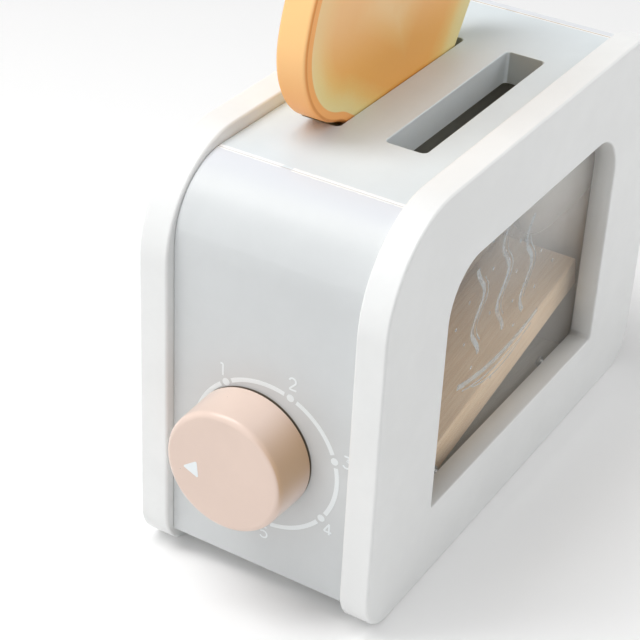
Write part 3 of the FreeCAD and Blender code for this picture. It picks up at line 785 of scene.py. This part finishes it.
grey_paint = paint("grey_paint", grey_colour, roughness=0.38, grain_along=(1.2, 0.06, 1.2), grain_depth=0.9)
# Near the top the grey turns paler and bluer: a painted reflection of the light overhead, above the
# highlight.
grey_paint.cover(top_reflection_grey, grey_paint.rise(grey_paint.coordinate("Z"), *top_reflection_rise))
paint_joint_line(grey_paint)
past_inner_face = abs(grey_paint.coordinate("X")) - lever_block_low.x / MM
inside = 1 - grey_paint.rise(past_inner_face, *inside_rise)
bare_grain = grey_paint.noise(*bare_noise)
grey_paint.cover(grey_paint.mix(*bare_tones, bare_grain), inside)
dial_low, dial_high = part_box("dial_knob")
dial_centre = (dial_low + dial_high) / 2
dial_radius = (dial_high.z - dial_low.z) / 2
dial_foot = Vector((dial_high.x, dial_centre.y, dial_centre.z))
# Round the dial's foot the face is painted near black, as painted shade in the gap under the knob.
from_dial = grey_paint.node("ShaderNodeVectorMath", {0: grey_paint.place(), 1: tuple(dial_foot / MM)},
                            "Value", operation="DISTANCE")
grey_paint.cover(painted_gap_shade, 1 - grey_paint.rise(from_dial, dial_radius / MM - gap_shade_soft, dial_radius / MM))


def end_block(name, low, high):
    """End block with a rounded top corner, and a rebate at the foot of its inner face."""
    way = 1 if low.x < 0 else -1
    outer_x, inner_x = (low.x, high.x)[::way]
    lap_x = inner_x - way * rebate_lap
    rebate = [(inner_x, low.z + rebate_height), (lap_x, low.z + rebate_height), (lap_x, low.z)]
    return prism(name, [(outer_x, low.z)] + shell_curve(low.x, high.x)[::way] + rebate, low.y, high.y)


dial_block = end_block("block_dial_end", dial_block_low, dial_block_high)
outward = Matrix(((0, 0, -1), (-1, 0, 0), (0, 1, 0))).to_4x4()
dial_place = Matrix.Translation(dial_foot) @ outward
bore(dial_block, dial_bore, -bore_reach, bore_reach, dial_place)
ease(dial_block, arris)
fit(dial_block, grey_paint, "casing", "end_block_dial")

lever_block = end_block("block_lever_end", lever_block_low, lever_block_high)
axle_low, axle_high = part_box("tray_axle")
pivot = (axle_low + axle_high) / 2


def height_at(x, angle, off):
    """Height at one X of a line that runs off to one side of the pivot, with the tray at an angle."""
    return pivot.z + (x - pivot.x) * math.tan(angle) + off / math.cos(angle)


slot_foot = height_at(lever_block_low.x, tray_tilt - tray_travel, -arm_half_height) - lever_slot_end_gap
slot_head = height_at(lever_block_high.x, tray_tilt, arm_half_height) + lever_slot_end_gap
slot_half = arm_half_width + lever_slot_side_gap
lever_slot = rounded_outline(-slot_half, slot_half, slot_foot, slot_head, lever_slot_corner,
                             lever_slot_corner)
carve(lever_block, skin("lever_slot", [[(x, y, z) for y, z in lever_slot]
                                       for x in (lever_block_low.x - MM, lever_block_high.x + MM)]))
ease(lever_block, arris)
fit(lever_block, grey_paint, "casing", "end_block_lever")


# ---- Top board
# A paler grey board between the blocks, routed for two bread slots with softened mouths.
# A ragged white line is painted along the joint to each block. The slots' ends are painted darker, as painted
# shade.
slot_length = 81 * MM
slot_width = 13.8 * MM
slot_pitch = 29.8 * MM
slot_pair_offset = 1.8 * MM
slot_corner = 1.8 * MM
slot_edge = 0.4 * MM
pale_colour = (0.71, 0.77, 0.80)
painted_slot_end_shade = (0.37, 0.39, 0.375)
slot_end_facing = (0.8, 0.95)

pale_paint = paint("pale_grey_paint", pale_colour, roughness=0.42, grain_along=(0.05, 0.9, 0.9),
                   grain_depth=0.4)
paint_joint_line(pale_paint)
# Faces across the board's length, the slots' ends, are painted dark grey, as painted shade in the slots.
normal = pale_paint.node("ShaderNodeNewGeometry", output="Normal")
facing = pale_paint.node("ShaderNodeSeparateXYZ", {0: normal}, "X")
pale_paint.cover(painted_slot_end_shade, pale_paint.rise(abs(facing), *slot_end_facing))
top = prism("board_top", [(board_low.x, board_low.z)] + shell_curve(board_low.x, board_high.x)
            + [(board_high.x, board_low.z)], board_low.y, board_high.y)
for side in (-1, 1):
    middle = slot_pair_offset + side * slot_pitch / 2
    mouth = rounded_outline(-slot_length / 2, slot_length / 2, middle - slot_width / 2,
                            middle + slot_width / 2, slot_corner, slot_corner)
    carve(top, skin("slot_cutter", [flat(mouth, z) for z in (board_low.z - MM, board_high.z + MM)]))
ease(top, slot_edge)
fit(top, pale_paint, "casing", "top_board")


# ---- Base board
# A 4 mm ply board let into the rebates of both blocks, left bare.
# Four counterbored holes take its screws.
base_counterbore = 3.8 * MM
base_counterbore_depth = 1.85 * MM
base_screw_hole = 1.95 * MM
base_arris = 0.25 * MM
hole_sides = 32
ply_layers = 3
layer_share = 0.2
ply_noise = (1.0, 6.0, 0.62, (0.03, 0.45, 0.2))
ply_rise = (0.3, 0.72)
ply_relief = 0.05 * MM
ply_tones = ((0.74, 0.70, 0.57), (0.60, 0.54, 0.42))

bare_ply = Finish("bare_ply", {"Roughness": 0.62, "Specular IOR Level": 0.35})
base_low, base_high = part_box("base_board")
layer = bare_ply.math("FLOOR", bare_ply.coordinate("Z") * (ply_layers * MM / (base_high.z - base_low.z)))
odd_layer = bare_ply.math("PINGPONG", layer, 1.0)
ply_grain = bare_ply.noise(*ply_noise)
ply_tone = bare_ply.rise(ply_grain, *ply_rise) * (1 - layer_share) + odd_layer * layer_share
bare_ply.mottle(ply_tones, ply_tone, ply_grain, ply_relief)
base_corners = [(base_low.x, base_low.y), (base_high.x, base_low.y), (base_high.x, base_high.y),
                (base_low.x, base_high.y)]
base = skin("base", [flat(base_corners, z) for z in (base_low.z, base_high.z)])
for spot in base_spots:
    bore(base, base_counterbore, -MM, base_counterbore_depth, Matrix.Translation(spot))
    bore(base, base_screw_hole, -MM, base_high.z, Matrix.Translation(spot), hole_sides)
ease(base, base_arris)
fit(base, bare_ply, "casing", "base_board")


# ---- Divider, dowels and axle
# The divider is a bare brown fibreboard, grooved into the blocks and the top board. It is painted darker
# upwards, as painted shade.
# The dowels are beech, glued half into each panel and half into the shell. The axle and its spacers
# are beech too.
board_tones = ((0.66, 0.53, 0.40), (0.55, 0.43, 0.31))
painted_slot_shade = (0.17, 0.175, 0.155)
board_noise = (0.9, 5.0, 0.7)
board_share = 0.7
cloud_noise = (0.06, 3.0, 0.5, (0.3, 1, 1))
cloud_share = 0.5
board_rise = (0.4, 0.8)
board_relief = 0.04 * MM
slot_shade_rise = (92, 106)
slot_shade_drift = 4
beech_tones = ((0.70, 0.47, 0.29), (0.55, 0.34, 0.19))
beech_noise = (0.8, 5.0, 0.6)
beech_rise = (0.3, 0.7)
beech_relief = 0.03 * MM
fleck_colour = (0.40, 0.22, 0.11)
fleck_noise = (1.0, 2.0, 0.5)
fleck_rise = (0.66, 0.74)
fleck_share = 0.6
fleck_fineness = 4

bare_board = Finish("bare_board", {"Roughness": 0.75, "Specular IOR Level": 0.3})
fibres = bare_board.noise(*board_noise)
clouds = bare_board.noise(*cloud_noise)
board_tone = bare_board.rise(board_share * fibres + cloud_share * clouds, *board_rise)
bare_board.mottle(board_tones, board_tone, fibres, board_relief)
# Upwards, under the slots, the board is painted near black, as painted shade.
slot_shade_height = bare_board.coordinate("Z") + slot_shade_drift * (clouds - 0.5)
bare_board.cover(painted_slot_shade, bare_board.rise(slot_shade_height, *slot_shade_rise))
coat("divider_board", bare_board)


def beech(name, stretch, turn=(0, 0, 0)):
    """Bare beech: straight grain, and the short dark flecks that beech has along it."""
    made = Finish(name, {"Roughness": 0.5, "Specular IOR Level": 0.4})
    grain = made.noise(*beech_noise, stretch, turn)
    flecks = made.noise(*fleck_noise, tuple(amount * fleck_fineness for amount in stretch), turn)
    made.mottle(beech_tones, made.rise(grain, *beech_rise), grain, beech_relief)
    made.cover(fleck_colour, fleck_share * made.rise(flecks, *fleck_rise))
    return made


beech_across = beech("beech", (1, 0.06, 1))
for node in ("joining_dowels", "tray_axle", "axle_spacers"):
    coat(node, beech_across)


# ---- Dial scale
# A white ring with five dots and plain numbers, screen-printed on the dial end's face.
# The ring is broken beside each dot. Its middle lies a little off the dial's own axis.
scale_middle_y = -1.55 * MM
scale_middle_z = 51.6 * MM
scale_radius = 25.4 * MM
scale_line = 1.45 * MM
scale_dot = 2.5 * MM
scale_break = 2.25 * MM
arc_step = 2
first_mark = -34.5
mark_pitch = 53.3
number_height = 4.1 * MM
number_line = 0.55 * MM
ink_noise = (1.3, 4.0, 0.7)
ink_relief = 0.01 * MM
ink_tones = ((0.81, 0.86, 0.88), (0.88, 0.92, 0.93))
number_places = ((-32.4, 29.5), (16.6, 30.5), (72.0, 29.9), (127.6, 29.2), (178.8, 29.4))
numbers = {
    1: ([(-0.17, 0.5), (0.06, 0.5), (0.06, -0.5)],),
    2: (sweep(0, 0.22, 0.28, 165, -38, 12) + [(-0.3, -0.5), (0.32, -0.5)],),
    3: ([(-0.26, 0.5), (0.28, 0.5), (-0.04, 0.12)] + sweep(-0.04, -0.19, 0.31, 84, -155, 12),),
    4: ([(0.14, 0.5), (-0.32, -0.26), (0.34, -0.26)], [(0.14, 0.5), (0.14, -0.5)]),
    5: ([(0.26, 0.5), (-0.2, 0.5), (-0.26, 0.03)] + sweep(-0.02, -0.18, 0.32, 128, -150, 12),)}

white_ink = Finish("white_ink", {"Roughness": 0.5})
ink_patches = white_ink.noise(*ink_noise)
white_ink.mottle(ink_tones, ink_patches, ink_patches, ink_relief)


def on_scale(clockwise, radius):
    """Point of the scale at an angle clockwise from its top, as (x, y) on the paper."""
    angle = math.radians(clockwise)
    return radius * math.sin(angle), radius * math.cos(angle)


gap = math.degrees(scale_break / scale_radius)
marks = [first_mark + mark_pitch * index for index in range(len(numbers))]
arcs = []
for mark, after in zip(marks, marks[1:] + [marks[0] + 360]):
    reach = after - mark - 2 * gap
    steps = int(reach / arc_step)
    arcs.append([on_scale(mark + gap + reach * step / steps, scale_radius) for step in range(steps + 1)])
dots = [on_scale(mark, scale_radius) for mark in marks]
strokes = []
for number, (clockwise, radius) in enumerate(number_places, 1):
    x, y = on_scale(clockwise, radius * MM)
    for stroke in numbers[number]:
        strokes.append([(x + across * number_height, y + up * number_height) for across, up in stroke])
scale_face = Matrix.Translation((dial_block_low.x + ink_sink - ink_film / 2, scale_middle_y, scale_middle_z))
scale_place = scale_face @ outward
printed("dial_scale", arcs, dots, scale_line, scale_dot, scale_place, white_ink)
printed("dial_numbers", strokes, [], number_line, scale_dot, scale_place, white_ink)


# ---- Dial
# A turned knob, sprayed peach, with a small white triangle on its face. Its upper window side is painted a
# deeper peach, as painted shade.
# It turns on a screw put in from inside, between a fibre and a steel washer.
dial_front_radius = 20.4 * MM
dial_round = 2.0 * MM
foot_break = 0.5 * MM
marker_corners = ((14.1, -2.8), (9.1, 0.9), (8.4, -5.2))
marker_round = 0.45 * MM
peach_colour = (0.785, 0.615, 0.525)
painted_shade_peach = (0.56, 0.36, 0.21)
speck_colour = (0.35, 0.30, 0.27)
speck_noise = (0.55, 1.0)
speck_rise = (0.80, 0.82)
behind_rise = (0.1, 0.7)
dial_coat = 0.4
dial_coat_roughness = 0.13
shade_flank_y = (-17.5, -5)
shade_flank_z = (45, 57)

dial_depth = dial_high.x - dial_low.x


def knob(name, foot, front, height, edge, place):
    """Turned knob with its foot's radius and its front's, a broken foot and a rounded front."""
    profile = [(foot - foot_break, 0), (foot, foot_break)]
    profile += [(front - inset, height - depth) for depth, inset in quarter(edge)]
    return turned(name, profile, place)


peach_paint = paint("peach_paint", peach_colour, roughness=0.38, grain_depth=0.3)
dial_paint = paint("dial_paint", peach_colour, roughness=0.36, grain_depth=0.3)
# The upper part of the window side is painted a deeper, darker peach, as painted shade.
behind_face = dial_paint.rise(dial_paint.coordinate("X") - dial_low.x / MM, *behind_rise)
shaded_window_side = 1 - dial_paint.rise(dial_paint.coordinate("Y"), *shade_flank_y)
shaded_upper_side = dial_paint.rise(dial_paint.coordinate("Z"), *shade_flank_z)
dial_paint.cover(painted_shade_peach, behind_face * (shaded_window_side * shaded_upper_side))
dial_paint.cover(speck_colour, dial_paint.rise(dial_paint.noise(*speck_noise), *speck_rise))
dial_paint.set("Coat Weight", dial_coat)
dial_paint.set("Coat Roughness", dial_coat_roughness)
dial = knob("dial", dial_radius, dial_front_radius, dial_depth, dial_round, dial_place)
fit(dial, dial_paint, "dial", "dial_knob")


def softened(corners, radius, steps=6):
    """Outline of a polygon, anticlockwise, with each corner rounded."""
    points = []
    for index, corner in enumerate(corners):
        here = Vector(corner)
        back = (Vector(corners[index - 1]) - here).normalized()
        on = (Vector(corners[(index + 1) % len(corners)]) - here).normalized()
        half = back.angle(on) / 2
        middle = here + (back + on).normalized() * radius / math.sin(half)
        start = here + back * radius / math.tan(half) - middle
        turn = math.pi - 2 * half
        for step in range(steps + 1):
            spoke = start.copy()
            spoke.rotate(Matrix.Rotation(turn * step / steps, 2))
            points.append(middle + spoke)
    return points


marker_outline = softened([(-y * MM, z * MM) for y, z in marker_corners][::-1], marker_round)
marker_face = dial_place @ Matrix.Translation((0, 0, dial_depth))
marker = skin("dial_marker", [[marker_face @ Vector((point.x, point.y, height)) for point in marker_outline]
                              for height in (-ink_sink, ink_film)])
marker.data.materials.append(white_ink.material)
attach(marker, "dial")

dial_screw_head = 4.2 * MM
dial_screw_head_height = 2.6 * MM
dial_screw_radius = 2.0 * MM
dial_screw_shank = 24 * MM
screws_low, screws_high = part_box("dial_screw")
dial_screw = screw(dial_screw_head, dial_screw_head_height, dial_screw_radius, screws_high.x - screws_low.x,
                   dial_screw_shank)
set_out("dial_screw", dial_screw, [(screws_high.x, dial_centre.y, dial_centre.z)], (-1, 0, 0), "dial")

fibre_noise = (0.8, 5.0, 0.7)
fibre_relief = 0.03 * MM
fibre_tones = ((0.20, 0.10, 0.06), (0.34, 0.18, 0.11))
fibre = Finish("fibre", {"Roughness": 0.7})
fibre_grain = fibre.noise(*fibre_noise)
fibre.mottle(fibre_tones, fibre_grain, fibre_grain, fibre_relief)
coat("dial_washer_outer", fibre)
coat("dial_washer_inner", zinc_steel)


# ---- Lift tray
# A bare sanded board that hinges on the axle and is tipped up by the elastic.
# Its grain runs lengthwise. The arm is glued into a mortise in its free end.
tray_edge = 0.8 * MM
tray_bore = 3.05 * MM
mortise_depth = 30 * MM
tray_thickness = 12 * MM
block_gap = 1 * MM
ring_noise = (1.0, 3.0, 0.5, (0.012, 0.35, 0.35))
ring_share = 0.35
pore_noise = (1.0, 4.0, 0.65, (0.06, 2.0, 2.0))
pore_share = 0.9
pine_rise = (0.1, 0.85)
pine_relief = 0.05 * MM
ring_waves = 38
pine_tones = ((0.99, 0.76, 0.51), (0.93, 0.675, 0.42))

bare_pine = Finish("bare_pine", {"Roughness": 0.6, "Specular IOR Level": 0.35})
tray_turn = (0, tray_tilt, 0)
rings = bare_pine.noise(*ring_noise, tray_turn)
bands = bare_pine.math("SINE", ring_waves * rings)
pores = bare_pine.noise(*pore_noise, tray_turn)
pine_tone = bare_pine.rise(ring_share * bands + pore_share * pores, *pine_rise)
bare_pine.mottle(pine_tones, pine_tone, pores, pine_relief)

tray_low, tray_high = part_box("lift_tray")
tray_place = Matrix.Translation(pivot) @ Matrix.Rotation(-tray_tilt, 4, "Y")
tray_half = tray_thickness / 2
tray_swing = lever_block_low.x - block_gap - pivot.x
tray_length = math.sqrt(tray_swing ** 2 - tray_half ** 2)


def on_tray(piece):
    """Moves a piece drawn flat about the pivot to the popped-up tray."""
    piece.data.transform(tray_place)
    return piece


tray_outline = sweep(0, 0, tray_half, 90, 270, 32) + [(tray_length, -tray_half), (tray_length, tray_half)]
tray = prism("tray", tray_outline, tray_low.y, tray_high.y)
carve(tray, prism("axle_bore", sweep(0, 0, tray_bore, 0, 354, 59), 2 * tray_low.y, 2 * tray_high.y))
mortise = [(tray_length - mortise_depth, -arm_half_height), (tray_length + MM, -arm_half_height),
           (tray_length + MM, arm_half_height), (tray_length - mortise_depth, arm_half_height)]
carve(tray, prism("mortise", mortise, -arm_half_width, arm_half_width))
ease(tray, tray_edge)
fit(on_tray(tray), bare_pine, "tray", "lift_tray")


# ---- Lever
# A beech strip with broken edges, and a turned knob sprayed the dial's peach.
# The knob is glued on a round tenon at the strip's end.
arm_break = 0.8 * MM
arm_arris = 0.3 * MM
arm_play = 0.1 * MM
knob_radius = 12 * MM
knob_height = 11 * MM
knob_round = 3 * MM
tenon_radius = 3.5 * MM
tenon_length = 7 * MM

lever_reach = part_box("lever_knob")[1].x - pivot.x
knob_outer = knob_round + (lever_reach - (knob_radius - knob_round) * math.sin(tray_tilt)
                           - knob_round) / math.cos(tray_tilt)
knob_base = knob_outer - knob_height
arm_start = tray_length - mortise_depth + arm_play
arm_section = softened([(-arm_half_width, -arm_half_height), (arm_half_width, -arm_half_height),
                        (arm_half_width, arm_half_height), (-arm_half_width, arm_half_height)], arm_break)
tenon_section = [(tenon_radius * math.cos(a), tenon_radius * math.sin(a))
                 for a in (math.tau * step / len(arm_section) for step in range(len(arm_section)))]
tenon_start = len(arm_section) * 5 // 8
tenon_section = tenon_section[tenon_start:] + tenon_section[:tenon_start]
arm_stations = [(arm_start, arm_section), (knob_base, arm_section), (knob_base, tenon_section),
                (knob_base + tenon_length, tenon_section)]
arm = skin("arm", [[(x, y, z) for y, z in section] for x, section in arm_stations])
ease(arm, arm_arris)
beech_along = beech("beech_lengthwise", (0.06, 1, 1), tray_turn)
fit(on_tray(arm), beech_along, "tray", "lever_arm")

forward = Matrix(((0, 0, 1), (0, 1, 0), (-1, 0, 0))).to_4x4()
grip_place = Matrix.Translation((knob_base, 0, 0)) @ forward
grip = knob("lever_grip", knob_radius, knob_radius, knob_height, knob_round, grip_place)
bore(grip, tenon_radius, -MM, tenon_length, grip_place)
fit(on_tray(grip), peach_paint, "tray", "lever_knob")


# ---- Screw eyes and elastic
# Two bent-wire screw eyes, one under the top board and one in the tray, carry a loop of elastic.
# The elastic has a round braided cover of fine threads.
eye_wire = 0.9 * MM
eye_ring = 4 * MM
eye_neck = 2.5 * MM
eye_shank = 7 * MM
eye_tip = 0.2 * eye_wire
eye_point_root = 0.8 * eye_wire
eye_point = 1.6 * eye_wire
eye_thread_start = 1.7 * eye_wire
eye_ring_end = 252
eye_ring_steps = 40
elastic_radius = 1.0 * MM
elastic_bend = 2.4 * MM
bend_steps = 12
thread_radius = 0.34 * MM
threads_each_way = 4
threads_lay = 7 * MM
eye_from_block = 17 * MM
eye_groove_play = 0.05 * MM
braid_step = 0.7 * MM
fuzz_noise = (3.0, 3.0)
elastic_relief = 0.05 * MM
elastic_tones = ((0.66, 0.65, 0.62), (0.82, 0.81, 0.78))


def bent_wire(name, points, radius):
    """Round wire through some points."""
    line = bpy.data.curves.new(name, "CURVE")
    line.dimensions = "3D"
    line.bevel_depth = radius
    line.bevel_resolution = 5
    line.use_fill_caps = True
    run = line.splines.new("POLY")
    run.points.add(len(points) - 1)
    for point, place in zip(run.points, points):
        point.co = (*place, 1)
    holder = bpy.data.objects.new(name, line)
    mesh = bpy.data.meshes.new_from_object(holder)
    bpy.data.objects.remove(holder)
    return piece_of(name, mesh)


def screw_eye(name, place, node, body):
    """Screw eye, drawn about its neck's foot: a pointed, threaded shank and a ring of the same wire."""
    turn = sweep(0, eye_neck + eye_ring, eye_ring, -90, eye_ring_end, eye_ring_steps)
    ring = [(x, 0, z) for x, z in turn]
    wire = bent_wire(name, [(0, 0, -MM), (0, 0, eye_neck - eye_wire)] + ring, eye_wire)
    profile = [(eye_tip, -eye_shank), (eye_point_root, eye_point - eye_shank)]
    profile += thread(eye_wire, eye_thread_start - eye_shank, -eye_wire) + [(eye_wire, 0)]
    shank = turned(name, profile, Matrix(), screw_sides)
    form = bmesh.new()
    form.from_mesh(wire.data)
    form.from_mesh(shank.data)
    form.to_mesh(wire.data)
    form.free()
    bpy.data.objects.remove(shank)
    wire.data.transform(place)
    fit(wire, zinc_steel, body, node)


eye_x = lever_block_low.x - eye_from_block
divider_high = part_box("divider_board")[1]
eye_y = (divider_high.y + board_high.y + eye_groove_play) / 2
tray_top_there = height_at(eye_x, tray_tilt, tray_half)
lower_ring = Vector((eye_x - pivot.x, 0, tray_top_there + eye_neck + eye_ring - pivot.z))
eye_along = lower_ring.x * math.cos(tray_tilt) + lower_ring.z * math.sin(tray_tilt)
half_turn = Matrix.Rotation(math.pi, 4, "X")
screw_eye("upper_eye", Matrix.Translation((eye_x, eye_y, board_low.z)) @ half_turn, "eye_upper", "casing")
screw_eye("lower_eye", tray_place @ Matrix.Translation((eye_along, eye_y, tray_half)), "eye_lower", "tray")

braiding = Recipe("braiding", {"Lay": "Float", "Reach": "Float", "Thread": "Float"})
path = braiding.node("GeometryNodeMeshToCurve", {"Mesh": braiding.given("Geometry")})
path = braiding.node("GeometryNodeResampleCurve", {"Curve": path, "Length": braid_step}, mode="LENGTH")
thread_section = braiding.node("GeometryNodeCurvePrimitiveCircle",
                               {"Resolution": 6, "Radius": braiding.given("Thread")})
whole = braiding.node("GeometryNodeCurveLength", {"Curve": path})
turns = braiding.math("ROUND", whole / braiding.given("Lay"))
share = braiding.node("GeometryNodeSplineParameter", output="Factor")
side = braiding.node("GeometryNodeInputNormal")
tangent = braiding.node("GeometryNodeInputTangent")
up = braiding.node("ShaderNodeVectorMath", {0: tangent, 1: side}, operation="CROSS_PRODUCT")
threads = []
for index in range(2 * threads_each_way):
    way = 1 if index % 2 else -1
    angle = (turns * share * way + index // 2 / threads_each_way) * math.tau
    reach = braiding.given("Reach")
    aside, above = (
        braiding.node("ShaderNodeVectorMath", {0: direction, "Scale": braiding.math(wave, angle) * reach},
                      operation="SCALE")
        for direction, wave in ((side, "COSINE"), (up, "SINE")))
    offset = braiding.node("ShaderNodeVectorMath", {0: aside, 1: above}, operation="ADD")
    strand = braiding.node("GeometryNodeSetPosition", {"Geometry": path, "Offset": offset})
    one = braiding.node("GeometryNodeCurveToMesh", {"Curve": strand, "Profile Curve": thread_section})
    threads.append(one)
braiding.close(braiding.node("GeometryNodeJoinGeometry", {0: threads}))

elastic_white = Finish("elastic", {"Roughness": 0.85, "Sheen Weight": 0.3})
fuzz = elastic_white.noise(*fuzz_noise)
elastic_white.mottle(elastic_tones, fuzz, fuzz, elastic_relief)
loop_head = board_low.z - eye_neck - 2 * eye_ring
loop_foot = (tray_place @ Vector((eye_along, eye_y, tray_half + eye_neck + 2 * eye_ring))).z
loop = []
for middle, start in ((loop_head, 0), (loop_foot, 180)):
    bend = sweep(0, 0, elastic_bend, start, start + 180, bend_steps)
    loop += [(eye_x, eye_y + across, middle + up) for across, up in bend]
loop_mesh = bpy.data.meshes.new("elastic_loop")
loop_mesh.from_pydata(loop, [(index, (index + 1) % len(loop)) for index in range(len(loop))], [])
elastic = placed("elastic_loop", loop_mesh)
braiding.run(elastic, {"Lay": threads_lay, "Reach": elastic_radius - thread_radius, "Thread": thread_radius,
                       "Finish": elastic_white.material})
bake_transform(elastic)
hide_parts("return_elastic")


# ---- Bread slice
# A shaped board about 10 mm thick with rounded arrises, tipped in the far slot.
# Its crust is sprayed orange, and its faces run from pale yellow to a toasted brown.
slice_width = 80 * MM
slice_height = 102.5 * MM
slice_thickness = 10.4 * MM
lobe_radius = 27.4 * MM
dome_radius = 62 * MM
waist_depth = 2 * MM
waist_radius = 16 * MM
base_radius = 9 * MM
slice_round = 1.3 * MM
slice_tip = math.radians(33)
lobe_from_slot = 7.2 * MM
lobe_above_board = 27.6 * MM
slice_wall_gap = 0.3 * MM
crust_rim = 3.4
crust_line = 0.75
base_bare = 4.5
crust_low_colour = (1.0, 0.43, 0.12)
crust_top_colour = (0.97, 0.57, 0.235)
crust_rise = (138, 168)
line_colour = (0.80, 0.31, 0.07)
rim_colour = (1.0, 0.45, 0.125)
toast_stops = ((0.085, (0.89, 0.74, 0.34)), (0.165, (0.90, 0.70, 0.28)), (0.27, (0.93, 0.57, 0.16)),
               (0.39, (0.93, 0.45, 0.09)), (0.66, (0.92, 0.44, 0.09)), (0.80, (0.93, 0.52, 0.15)),
               (0.95, (0.95, 0.66, 0.30)))
toast_top_colour = (1.0, 0.62, 0.31)
toast_rise = (146, 176)
toast_top_share = 0.7
mist_noise = (0.07, 3.0)
mist_drift = 3
speckle_scale = 2.2
speckle_drift = 2.5
line_rise = (0.15, 0.6)
rim_rise = (1.0, 1.4)
rim_soft = 0.2
base_soft = 1.0
bread_peel_noise = (1.1, 4.0, 0.6)
bread_smooth = 0.36
bread_dulled = 0.12
bread_relief = 0.02 * MM
face_insets = (2.2, 3.2, 3.6, 4.6, 6.0, 7.6)
face_shares = (0.9, 0.78, 0.66, 0.54, 0.42, 0.3, 0.18, 0.06)
toast_reach = 40.0


def slice_outline():
    """Outline of the slice as arcs, base at Z = 0, and the middle of its upper lobe."""
    half = slice_width / 2
    lobe_x = half - lobe_radius
    spread = math.asin(lobe_x / (dome_radius - lobe_radius))
    lobe_z = slice_height - dome_radius + (dome_radius - lobe_radius) * math.cos(spread)
    side_x = half - waist_depth
    waist_x = side_x + waist_radius
    waist_z = lobe_z - math.sqrt((lobe_radius + waist_radius) ** 2 - (waist_x - lobe_x) ** 2)
    meet = math.degrees(math.atan2(waist_z - lobe_z, waist_x - lobe_x))
    shoulder = 90 - math.degrees(spread)
    right = sweep(side_x - base_radius, base_radius, base_radius, -90, 0, 12)
    right += sweep(waist_x, waist_z, waist_radius, 180, 180 + meet, 8)
    right += sweep(lobe_x, lobe_z, lobe_radius, meet, shoulder, 40)
    right += sweep(0, slice_height - dome_radius, dome_radius, shoulder, 90, 16)
    right = [point for index, point in enumerate(right) if math.dist(point, right[index - 1]) > 1e-6]
    return right + [(-x, z) for x, z in reversed(right[:-1])], (lobe_x, lobe_z)


outline, lobe_middle = slice_outline()
slice_place = (Matrix.Translation((-slot_length / 2 + lobe_from_slot,
                                   slot_pair_offset + (slot_pitch - slot_width) / 2 + slice_wall_gap,
                                   board_high.z + lobe_above_board))
               @ Matrix.Rotation(slice_tip - math.pi / 2, 4, "Y")
               @ Matrix.Translation((lobe_middle[0], 0, -lobe_middle[1])))


def inset_outline(points, distance):
    """Outline moved in by a distance along its own normals."""
    moved = []
    for index, (x, z) in enumerate(points):
        before, after = points[index - 1], points[(index + 1) % len(points)]
        along = Vector((after[0] - before[0], after[1] - before[1])).normalized()
        moved.append((x - along.y * distance, z + along.x * distance))
    return moved


def from_outline(x, z):
    """How far a point lies in from the slice's outline."""
    here = Vector((x, z))
    reaches = []
    for index, point in enumerate(outline):
        start, end = Vector(outline[index - 1]), Vector(point)
        share = intersect_point_line(here, start, end)[1]
        reaches.append((start.lerp(end, min(max(share, 0), 1)) - here).length)
    return min(reaches)


# Rings run in over each face: first parallel to the outline, then drawn together towards the middle.
half_rings = [(inset_outline(outline, inset), depth) for depth, inset in quarter(slice_round)]
half_rings += [(inset_outline(outline, inset * MM), 0) for inset in face_insets]
inner = half_rings[-1][0]
hub_z = slice_height / 2
for share in face_shares:
    half_rings.append(([(x * share, hub_z + (z - hub_z) * share) for x, z in inner], 0))
slice_rings = [upright(ring, depth) for ring, depth in reversed(half_rings)]
slice_rings += [upright(ring, slice_thickness - depth) for ring, depth in half_rings]
bread = skin("bread", slice_rings)
edge_of = bread.data.attributes.new("from_edge", "FLOAT", "POINT")
base_of = bread.data.attributes.new("from_base", "FLOAT", "POINT")
for vertex, to_edge, to_base in zip(bread.data.vertices, edge_of.data, base_of.data):
    to_edge.value = from_outline(vertex.co.x, vertex.co.z) / MM
    to_base.value = vertex.co.z / MM
bread.data.transform(slice_place)

bread_paint = Finish("bread_paint", {"Roughness": 0.42, "Specular IOR Level": 0.45})
in_from_edge = bread_paint.node("ShaderNodeAttribute", output="Fac", attribute_name="from_edge")
up_from_base = bread_paint.node("ShaderNodeAttribute", output="Fac", attribute_name="from_base")
mist = bread_paint.noise(*mist_noise)
speckle = bread_paint.noise(speckle_scale)
drift = in_from_edge + mist_drift * (mist - 0.5) + speckle_drift * (speckle - 0.5)
toast = bread_paint.ramp(drift * (1 / toast_reach), toast_stops)
height = bread_paint.coordinate("Z")
toast = bread_paint.mix(toast, toast_top_colour, toast_top_share * bread_paint.rise(height, *toast_rise))
crust = bread_paint.mix(crust_low_colour, crust_top_colour, bread_paint.rise(height, *crust_rise))
off_line = abs(in_from_edge - crust_line)
crust = bread_paint.mix(crust, line_colour, 1 - bread_paint.rise(off_line, *line_rise))
crust = bread_paint.mix(crust, rim_colour, bread_paint.rise(in_from_edge, *rim_rise))
on_face = bread_paint.rise(in_from_edge, crust_rim - rim_soft, crust_rim + rim_soft)
on_base = 1 - bread_paint.rise(up_from_base, base_bare - base_soft, base_bare + base_soft)
bread_paint.set("Base Color", bread_paint.mix(crust, toast, bread_paint.math("MAXIMUM", on_face, on_base)))
bread_peel = bread_paint.noise(*bread_peel_noise)
bread_paint.set("Roughness", bread_smooth + bread_dulled * bread_peel)
bread_paint.relief(bread_peel, bread_relief)
fit(bread, bread_paint, "slice", "toast_slice")
